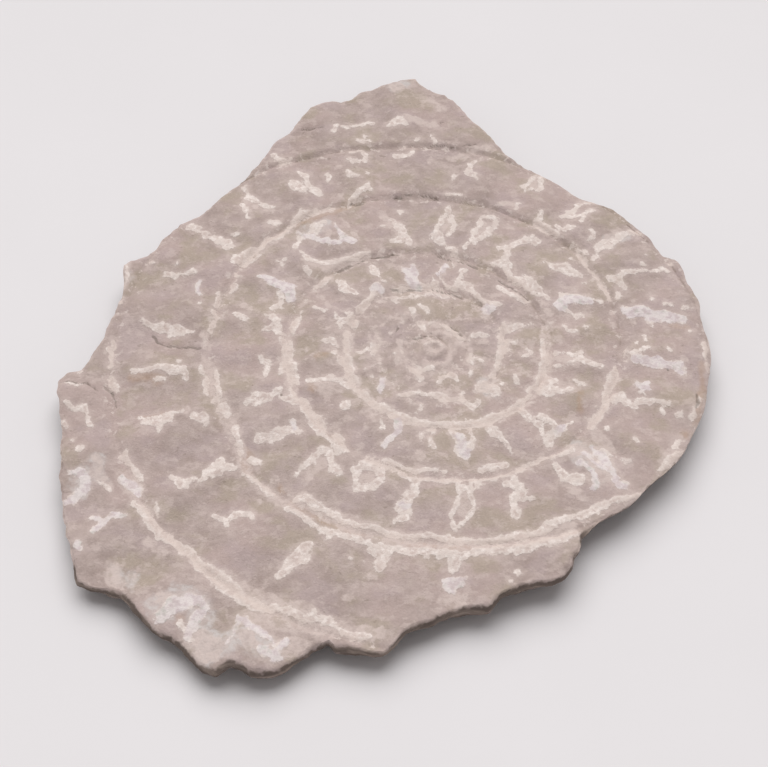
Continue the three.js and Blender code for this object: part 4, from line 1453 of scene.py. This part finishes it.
@dataclass
class FossilSlab:
    """The whole fossil as one closed mesh.

    Lengths are in millimetres. The drum that the slab starts from has a radius of 1, and row_step,
    base_scale and rim_margin are shares of it. The four rows of wall values run from the edge down.
    """

    name: str = "fossil_slab"
    rim_count: int = 1080
    base_count: int = 360
    wall_rows: int = 9
    row_step: float = 0.1
    base_scale: float = 0.985
    rim_margin: float = 2e-6
    height: float = 5.0
    sag: float = 0.2
    sag_radius: float = 60.0
    far: float = 3.0
    smooth_points: int = 16
    steep_side: float = math.radians(65.0)
    droop_draw: float = 0.84
    spread: float = 0.1
    waver: float = 0.55
    edge_search: int = 20
    smooth_angle: float = 50.0
    rim_from: tuple[float, float] = (-60.5, -54.0)
    rim_to: tuple[float, float] = (64.0, 57.0)
    droop_depth: float = 1.1
    rib_low: float = 0.06
    rib_growth: float = 0.0125
    coil_lift: float = 0.15
    coil_radius: float = 1.35
    coil_step: float = 2.1
    flake_lift: float = 0.07
    film_lift: float = 0.03
    pit_depth: float = 0.2
    shoulder_drop: float = 0.5
    shoulder_width: float = 2.6
    split_inset: tuple[float, ...] = (0.0, 0.1, 0.32, 0.75, 1.45, 2.4, 3.5, 4.7, 5.9, 7.1)
    split_fall: tuple[float, ...] = (1.0, 0.9, 0.78, 0.66, 0.54, 0.43, 0.32, 0.21, 0.1, 0.0)
    undercut_inset: tuple[float, ...] = (0.0, 0.15, 0.6, 1.35, 2.3, 3.5, 4.9, 6.5, 8.2, 10.0)
    undercut_fall: tuple[float, ...] = (1.0, 0.87, 0.72, 0.58, 0.46, 0.36, 0.27, 0.18, 0.09, 0.0)
    spiral: ShellSpiral = field(default_factory=ShellSpiral)
    outline: BrokenOutline = field(default_factory=BrokenOutline)
    marks: tuple[Mark, ...] = ALL_MARKS
    noise: GradientNoise = field(default_factory=lambda: GradientNoise(seed=7))

    def lay_out(self) -> bpy.types.Object:
        """Model the slab as a plain drum of radius 1: a gridded face, rows of wall and a coarser base.

        Returns:
            The drum.
        """
        depth = self.wall_rows * self.row_step
        deselect_all()
        bpy.ops.mesh.primitive_circle_add(vertices=self.base_count, radius=self.base_scale,
                                          location=(0.0, 0.0, -depth))
        base = bpy.context.object
        bpy.ops.object.mode_set(mode="EDIT")
        bpy.ops.mesh.select_all(action="SELECT")
        bpy.ops.mesh.fill_grid(span=self.base_count // 4)
        deselect_all()
        bpy.ops.mesh.primitive_circle_add(vertices=self.rim_count, radius=1.0)
        drum = bpy.context.object
        bpy.ops.object.mode_set(mode="EDIT")
        bpy.ops.mesh.select_mode(type="EDGE")
        bpy.ops.mesh.select_all(action="SELECT")
        bpy.ops.mesh.fill_grid(span=self.rim_count // 4)
        select_open_edges()
        for _ in range(self.wall_rows):
            bpy.ops.mesh.extrude_edges_move(TRANSFORM_OT_translate={"value": (0.0, 0.0, -self.row_step)})
        bpy.ops.object.mode_set(mode="OBJECT")
        base.select_set(True)
        bpy.context.view_layer.objects.active = drum
        bpy.ops.object.join()
        bpy.ops.object.mode_set(mode="EDIT")
        select_open_edges()
        bpy.ops.mesh.bridge_edge_loops()
        bpy.ops.mesh.select_all(action="SELECT")
        bpy.ops.mesh.normals_make_consistent(inside=False)
        bpy.ops.object.mode_set(mode="OBJECT")
        drum.name = self.name
        drum.data.name = self.name
        return drum

    def mark_gaps(self, x: np.ndarray, y: np.ndarray) -> dict[MarkKind, np.ndarray]:
        """Distance to the nearest mark of each kind.

        Args:
            x: Places on the upper face, in millimetres.
            y: Places on the upper face, in millimetres.

        Returns:
            Distances in millimetres, negative inside a mark and at most far.
        """
        gaps = {kind: np.full(x.shape, self.far) for kind in MarkKind}
        bend = self.noise.at(x + 200.0, y, 2.6, 3), self.noise.at(x, y + 200.0, 2.6, 3)
        thinning = self.noise.at(x - 70.0, y - 40.0, 1.7, 3)
        x, y = x + self.waver * bend[0], y + self.waver * bend[1]
        for mark in self.marks:
            stroke = mark.stroke()
            points = np.array(stroke)
            reach = self.far + points[:, 2].max()
            low, high = points[:, :2].min(axis=0) - reach, points[:, :2].max(axis=0) + reach
            near = (x > low[0]) & (x < high[0]) & (y > low[1]) & (y < high[1])
            gap = stroke_gap(stroke, x[near], y[near])
            gap += (0.15 if mark.kind is MarkKind.HOLLOW else 0.3) * thinning[near]
            if mark.kind in (MarkKind.CREAM, MarkKind.NACRE):
                gap -= self.spread
            gaps[mark.kind][near] = np.minimum(gaps[mark.kind][near], gap)
        return gaps

    def face_height(self, x: np.ndarray, y: np.ndarray) -> np.ndarray:
        """Height of the upper face before its marks and its edge are carved.

        Args:
            x: Places, in millimetres.
            y: Places, in millimetres.

        Returns:
            Heights above the table, in millimetres.
        """
        away = np.hypot(x, y)
        turns, inner, outer = self.spiral.locate(x, y)
        width = inner + outer
        across = inner / width
        size = np.clip(width / 9.0, 0.35, 1.15)
        whorl = -0.26 + 0.46 * smoothstep(-0.1, 0.9, inner / size)
        whorl += 0.06 * np.sin(np.pi * across) - 0.28 * smoothstep(0.35, 0.98, across)
        whorl -= 0.18 * smoothstep(0.5, 0.0, outer / size)
        wander = 0.16 * self.noise.at(x, y, 7.0, 2)
        crest = (0.5 + 0.5 * np.cos(TURN * (self.spiral.rib_number(turns) + wander))) ** 1.4 - 0.42
        hold = smoothstep(0.02, 0.25, across) * (1.0 - 0.6 * smoothstep(0.8, 1.0, across))
        ribs = (self.rib_low + self.rib_growth * away) * crest * hold
        uneven = 0.13 * self.noise.at(x, y, 14.0, 2) + 0.05 * self.noise.at(x, y, 2.6, 3)
        heart = np.hypot(x, y + 0.4)
        coil = self.coil_lift * np.cos(TURN * (heart - self.coil_radius) / self.coil_step)
        coil *= smoothstep(4.9, 3.2, heart)
        nucleus = 0.2 * np.exp(-(away / 5.0) ** 2) + coil
        relief = size * whorl * (0.5 + 0.5 * self.back_share(x, y))
        return self.height - self.sag * (away / self.sag_radius) ** 2 + relief + ribs + uneven + nucleus

    def back_share(self, x: np.ndarray, y: np.ndarray) -> np.ndarray:
        """Share of the full relief, since the whorls stand out most on the side towards the hump.

        Args:
            x: Places, in millimetres.
            y: Places, in millimetres.

        Returns:
            Shares, from 0 at the front left to 1 at the back right.
        """
        return 0.5 + 0.5 * np.cos(np.arctan2(y, x) - self.steep_side)

    def edge_lines(self) -> dict[str, np.ndarray]:
        """The edge of the upper face and what the wall below it needs.

        Returns:
            For each point round the rim: its ragged place, its smoothed place, the outward direction,
            the run along the edge in millimetres and how worn it is, 1 on the round rim.
        """
        plain = self.outline.spread(self.rim_count)
        kernel = np.exp(-np.linspace(-2.0, 2.0, 2 * self.smooth_points + 1) ** 2)
        kernel /= kernel.sum()
        looped = np.concatenate([plain[-self.smooth_points:], plain, plain[:self.smooth_points]])
        smooth = np.stack([np.convolve(looped[:, axis], kernel, mode="valid") for axis in (0, 1)], axis=1)
        along = np.roll(smooth, -1, axis=0) - np.roll(smooth, 1, axis=0)
        along /= np.hypot(along[:, 0], along[:, 1])[:, None]
        outward = np.stack([-along[:, 1], along[:, 0]], axis=1)
        angle = np.degrees(np.arctan2(plain[:, 1], plain[:, 0]))
        worn = smoothstep(*self.rim_from, angle) * smoothstep(*self.rim_to, angle)
        x, y = plain.T
        turns = self.spiral.locate(x * 0.99, y * 0.99)[0]
        scallop = 0.2 * np.cos(TURN * self.spiral.rib_number(turns)) + 0.1 * self.noise.at(x, y, 1.6, 2)
        ragged = 0.42 * self.noise.at(x, y, 3.4, 4)
        back, front = np.maximum(outward[:, 1], 0.0), np.maximum(-outward[:, 1], 0.0)
        push = worn * (scallop + 0.85 * back) + (1.0 - worn) * (ragged + 0.8 * front)
        step = np.hypot(*(np.roll(plain, -1, axis=0) - plain).T)
        run = np.concatenate([[0.0], np.cumsum(step)[:-1]])
        return {"rim": plain + push[:, None] * outward, "smooth": smooth, "outward": outward, "run": run,
                "worn": worn}

    def sculpt(self, slab: bpy.types.Object) -> None:
        """Stretch the drum to the broken outline, carve it and store what its finish needs.

        Args:
            slab: The drum from lay_out.
        """
        mesh = slab.data
        drum = np.empty(len(mesh.vertices) * 3)
        mesh.vertices.foreach_get("co", drum)
        drum = drum.reshape(-1, 3)
        drum[:, 2] += slab.location[2]
        slab.location = (0.0, 0.0, 0.0)
        reach = np.hypot(drum[:, 0], drum[:, 1])
        level = np.rint(-drum[:, 2] / self.row_step).astype(int)
        share = (0.25 - np.arctan2(drum[:, 1], drum[:, 0]) / TURN) % 1.0
        edge = self.edge_lines()
        place = share * self.rim_count
        first = np.rint(place).astype(int) % self.rim_count
        wrap = np.arange(self.rim_count + 1)

        def read(values: np.ndarray) -> np.ndarray:
            """Read a row of the edge at each point of the drum."""
            closed = np.concatenate([values, values[:1]])
            if closed.ndim == 1:
                return np.interp(place, wrap, closed)
            return np.stack([np.interp(place, wrap, side) for side in closed.T], axis=1)

        base = (level == self.wall_rows) & (reach < (1.0 + self.base_scale) / 2.0)
        face = level == 0
        wall = ~base & ~face
        rim, smooth, outward, worn = (read(edge[key]) for key in ("rim", "smooth", "outward", "worn"))
        spot = smooth * reach[:, None] + (rim - smooth) * (reach ** 10)[:, None]
        x, y = spot.T
        z = np.zeros(len(drum))

        gap = self.edge_gap(x[face], y[face], first[face], edge["rim"])
        break_depth = gap / self.bevel_width(x[face], y[face])
        seam = np.minimum(*self.spiral.locate(x[face], y[face])[1:])
        # Painted shade: the groove distance grows towards the front left, so the dark groove line stays on
        # the back, where the groove wall faces away from the lamp. This also thins the shell dust and cream
        # near the front grooves.
        seam += 0.3 * (1.0 - self.back_share(x[face], y[face]))
        marks = self.mark_gaps(x[face], y[face])
        shell = np.minimum(marks[MarkKind.CREAM], marks[MarkKind.NACRE])
        top = self.face_height(x[face], y[face])
        top += self.flake_lift * smoothstep(0.1, -0.24, shell)
        top += self.film_lift * smoothstep(0.2, -0.3, marks[MarkKind.FILM])
        top -= self.pit_depth * smoothstep(0.16, -0.14, marks[MarkKind.HOLLOW])
        facing = smoothstep(-0.2, -0.6, outward[face][:, 1])
        droop = self.front_droop(x, y)
        z[face] = self.cut_edge(x[face], y[face], top, gap, worn[face], facing) - droop[face]
        spot[:, 1] += self.droop_draw * droop

        on_rim = face & (reach > 1.0 - self.rim_margin)
        rim_height = z[on_rim][np.argsort(first[on_rim])]
        self.shape_wall(spot, z, wall, level, read(rim_height), outward, worn, read(edge["run"]))
        bottom = wall & (level == self.wall_rows)
        foot_order = np.argsort(first[bottom])
        foot, foot_height = spot[bottom][foot_order], z[bottom][foot_order]
        spot[base] = read(foot)[base] * reach[base][:, None]
        bx, by = spot[base].T
        rough = 0.3 + 0.25 * self.noise.at(bx + 90.0, by, 22.0, 2)
        rough += 0.1 * self.noise.at(bx, by + 50.0, 3.0, 2)
        near_foot = smoothstep(0.9, self.base_scale, reach[base])
        z[base] = np.maximum(rough, 0.0) * (1.0 - near_foot) + read(foot_height)[base] * near_foot

        final = np.column_stack([spot, z]) * MM
        mesh.vertices.foreach_set("co", final.ravel())
        mesh.update()
        gaps = {
            "shell_gap": shell,
            "nacre_gap": marks[MarkKind.NACRE],
            "film_gap": marks[MarkKind.FILM],
            "rust_gap": marks[MarkKind.RUST],
            "hollow_gap": marks[MarkKind.HOLLOW],
            "frost_gap": marks[MarkKind.FROST],
            "groove_gap": seam,
            "edge_gap": gap,
        }
        fields = {name: self.on_face(face, values) for name, values in gaps.items()}
        # The wall share lays the painted shade on the wall, the underside and the sloping front break.
        fields["wall"] = self.wall_shade_share(face, base, level, break_depth, facing, worn[face])
        for name, values in fields.items():
            attribute = mesh.attributes.new(name, "FLOAT", "POINT")
            attribute.data.foreach_set("value", values.astype(np.float32))

    def wall_shade_share(self, face: np.ndarray, base: np.ndarray, level: np.ndarray, depth: np.ndarray,
                   facing: np.ndarray, worn: np.ndarray) -> np.ndarray:
        """Share of painted shade on the broken rock: full on the wall, partial on the underside, and fading
        in over the sloping break along the front.

        Args:
            face: True for each point of the upper face.
            base: True for each point of the underside.
            level: Row of each point, 0 on the upper face.
            depth: On the upper face, distance to the edge as a share of the break's width.
            facing: On the upper face, 1 along the front and 0 along the back.
            worn: On the upper face, 1 on the round rim and 0 on broken rock.

        Returns:
            A share for each point.
        """
        share = np.where(level > 1, 1.0, 0.7)
        share[base] = 0.4
        share[face] = facing * smoothstep(1.0, 0.3, depth + 0.4 * worn) * (1.0 - 0.5 * worn)
        return share

    def on_face(self, face: np.ndarray, values: np.ndarray) -> np.ndarray:
        """Spread values of the upper face over all points, with far elsewhere.

        Args:
            face: True for each point of the upper face.
            values: Values on the upper face.

        Returns:
            A value for each point.
        """
        spread = np.full(face.shape, self.far)
        spread[face] = values
        return spread

    def edge_gap(self, x: np.ndarray, y: np.ndarray, nearest: np.ndarray, rim: np.ndarray) -> np.ndarray:
        """Distance to the edge of the upper face.

        Args:
            x: Places, in millimetres.
            y: Places, in millimetres.
            nearest: For each place, the rim point on the same ray.
            rim: Rim points.

        Returns:
            Distances in millimetres, at most twice far.
        """
        gap = np.full(x.shape, 2.0 * self.far)
        for shift in range(-self.edge_search, self.edge_search + 1):
            start = rim[(nearest + shift) % self.rim_count]
            end = rim[(nearest + shift + 1) % self.rim_count]
            along = end - start
            from_x, from_y = x - start[:, 0], y - start[:, 1]
            part = (from_x * along[:, 0] + from_y * along[:, 1]) / (along ** 2).sum(axis=1)
            part = np.clip(part, 0.0, 1.0)
            away = np.hypot(from_x - part * along[:, 0], from_y - part * along[:, 1])
            gap = np.minimum(gap, away)
        return gap

    def cut_edge(self, x: np.ndarray, y: np.ndarray, top: np.ndarray, gap: np.ndarray,
                 worn: np.ndarray, facing: np.ndarray) -> np.ndarray:
        """Round the worn rim and chip the broken edge.

        Args:
            x: Places, in millimetres.
            y: Places, in millimetres.
            top: Heights so far.
            gap: Distances to the edge.
            worn: 1 on the round rim, 0 on broken rock.
            facing: 1 along the front, where the break slopes outward, 0 along the back.

        Returns:
            The new heights.
        """
        slope = np.clip(1.0 - gap / self.shoulder_width, 0.0, 1.0)
        shoulder = (self.shoulder_drop - 0.4 * facing) * slope ** 2
        chips = np.clip(self.noise.at(x + 30.0, y, 5.0, 3) - 0.05, 0.0, 0.6)
        broken = 0.16 * smoothstep(0.4, 0.0, gap) + 0.8 * chips * smoothstep(0.3 + 1.5 * chips, 0.1, gap)
        reach = self.bevel_width(x, y)
        bevel = 0.5 * facing * smoothstep(1.0, 0.0, gap / reach) ** 0.8
        return top - worn * shoulder - (1.0 - worn) * (broken + bevel)

    def bevel_width(self, x: np.ndarray, y: np.ndarray) -> np.ndarray:
        """Width of the sloping break along the front edge, which comes and goes.

        Args:
            x: Places, in millimetres.
            y: Places, in millimetres.

        Returns:
            Widths, in millimetres.
        """
        return np.clip(0.6 + 0.7 * self.noise.at(x - 60.0, y + 20.0, 5.0, 3), 0.25, 1.2)

    def front_droop(self, x: np.ndarray, y: np.ndarray) -> np.ndarray:
        """How far the slab thins towards its broken front left corner.

        Args:
            x: Places, in millimetres.
            y: Places, in millimetres.

        Returns:
            Drops, in millimetres.
        """
        return self.droop_depth * smoothstep(12.0, 58.0, -0.6 * x - 0.8 * y)

    def shape_wall(self, spot: np.ndarray, z: np.ndarray, wall: np.ndarray, level: np.ndarray,
                   rim_height: np.ndarray, outward: np.ndarray, worn: np.ndarray, run: np.ndarray) -> None:
        """Set the rows of the wall: split rock with ledges, or the undercut below the round rim.

        Args:
            spot: X and Y of every point, changed in place.
            z: Height of every point, changed in place.
            wall: True for each point of the wall.
            level: Row of each point, 0 on the upper face.
            rim_height: Height of the edge above each point.
            outward: Outward direction at each point.
            worn: 1 on the round rim, 0 on broken rock.
            run: Run along the edge, in millimetres.
        """
        down = level[wall] / self.wall_rows
        top, lane, soft = rim_height[wall], run[wall], worn[wall]
        rows = np.linspace(0.0, 1.0, self.wall_rows + 1)
        split = np.interp(down, rows, self.split_inset)
        ledges = self.noise.at(lane, 60.0 + level[wall] * 2.3, 6.0, 2) * 0.55
        ledges += self.noise.at(lane, 160.0 + level[wall] * 1.1, 1.8, 2) * 0.22
        split += ledges * smoothstep(0.0, 0.25, down)
        under = np.interp(down, rows, self.undercut_inset)
        under += 0.5 * down * self.noise.at(lane, 260.0 + level[wall], 5.0, 2)
        inset = soft * under + (1.0 - soft) * split
        fall = np.interp(down, rows, self.split_fall)
        fall_under = np.interp(down, rows, self.undercut_fall)
        drop = soft * fall_under + (1.0 - soft) * fall
        foot = 0.12 + 0.12 * self.noise.at(lane, np.full(lane.shape, 400.0), 9.0, 2)
        spot[wall] -= outward[wall] * inset[:, None]
        z[wall] = np.maximum(foot, 0.0) * (1.0 - drop) + top * drop

    def build(self, ragged: bpy.types.NodeTree, mottle: bpy.types.NodeTree) -> bpy.types.Object:
        """Make the slab, dress it and put it in the frame.

        Args:
            ragged: Group that frays the edge of a mark.
            mottle: Group that gives cloudy tone.

        Returns:
            The finished slab.
        """
        slab = self.lay_out()
        self.sculpt(slab)
        deselect_all()
        slab.select_set(True)
        bpy.context.view_layer.objects.active = slab
        bpy.ops.object.shade_smooth_by_angle(angle=math.radians(self.smooth_angle))
        slab.data.materials.append(StoneFinish().material(ragged, mottle))
        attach(slab, BODY)
        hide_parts(NODE)
        return slab


# --------------------------------------------------------------------------------------------------
# Table, light and camera
# --------------------------------------------------------------------------------------------------

@dataclass
class Studio:
    """A pale table under soft light from above and behind, seen from the front and above."""

    table_size: float = 3.0
    sky_colour: Colour = (1.0, 0.995, 1.0, 1.0)
    sky_strength: float = 0.33
    lamp_strength: float = 2.26
    lamp_spread: float = 66.0
    lamp_place: tuple[float, float, float] = (-0.01, 0.41, 0.72)
    camera_place: tuple[float, float, float] = (-0.007692, -0.172990, 0.202664)
    camera_tilt: float = 40.0
    lens: float = 80.0
    sensor: float = 36.0

    def build_table(self, mottle: bpy.types.NodeTree) -> bpy.types.Object:
        """Lay the table top.

        Args:
            mottle: Group that gives cloudy tone.

        Returns:
            The table top.
        """
        deselect_all()
        bpy.ops.mesh.primitive_plane_add(size=self.table_size, location=(0.0, 0.0, 0.0))
        table = bpy.context.object
        table.name = "table_top"
        table.data.materials.append(TableFinish().material(mottle))
        return table

    def build_lights(self) -> bpy.types.Object:
        """Set one far, soft lamp and fill the room with even light.

        Returns:
            The lamp.
        """
        world = bpy.data.worlds.new("white_room")
        world.use_nodes = True
        sky = world.node_tree.nodes["Background"]
        sky.inputs["Color"].default_value = self.sky_colour
        sky.inputs["Strength"].default_value = self.sky_strength
        bpy.context.scene.world = world
        deselect_all()
        bpy.ops.object.light_add(type="SUN", location=self.lamp_place)
        lamp = bpy.context.object
        lamp.name = "soft_lamp"
        lamp.data.angle = math.radians(self.lamp_spread)
        lamp.data.energy = self.lamp_strength
        direction = -lamp.location
        lamp.rotation_euler = direction.to_track_quat("-Z", "Y").to_euler()
        return lamp

    def build_camera(self) -> bpy.types.Object:
        """Set up the camera.

        Returns:
            The camera.
        """
        deselect_all()
        turned = (math.radians(self.camera_tilt), 0.0, 0.0)
        bpy.ops.object.camera_add(location=self.camera_place, rotation=turned)
        camera = bpy.context.object
        camera.name = "camera"
        camera.data.lens = self.lens
        camera.data.sensor_width = self.sensor
        camera.data.clip_start = 0.01
        bpy.context.scene.camera = camera
        bpy.context.scene.view_settings.view_transform = "Standard"
        return camera


def main() -> None:
    """Build the camera, the fossil and the studio, and note the sizes."""
    logging.basicConfig(level=logging.INFO, format="%(name)s: %(message)s")
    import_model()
    studio = Studio()
    studio.build_camera()
    ragged, mottle = ragged_edge_group(), mottle_group()
    slab = FossilSlab().build(ragged, mottle)
    LOG.info("%s: %d faces, %.1f mm long", slab.name, len(slab.data.polygons), slab.dimensions.y / MM)
    table = studio.build_table(mottle)
    LOG.info("%s: %.1f m wide", table.name, studio.table_size)
    lamp = studio.build_lights()
    LOG.info("%s: strength %.2f", lamp.name, studio.lamp_strength)


if __name__ == "__main__":
    main()
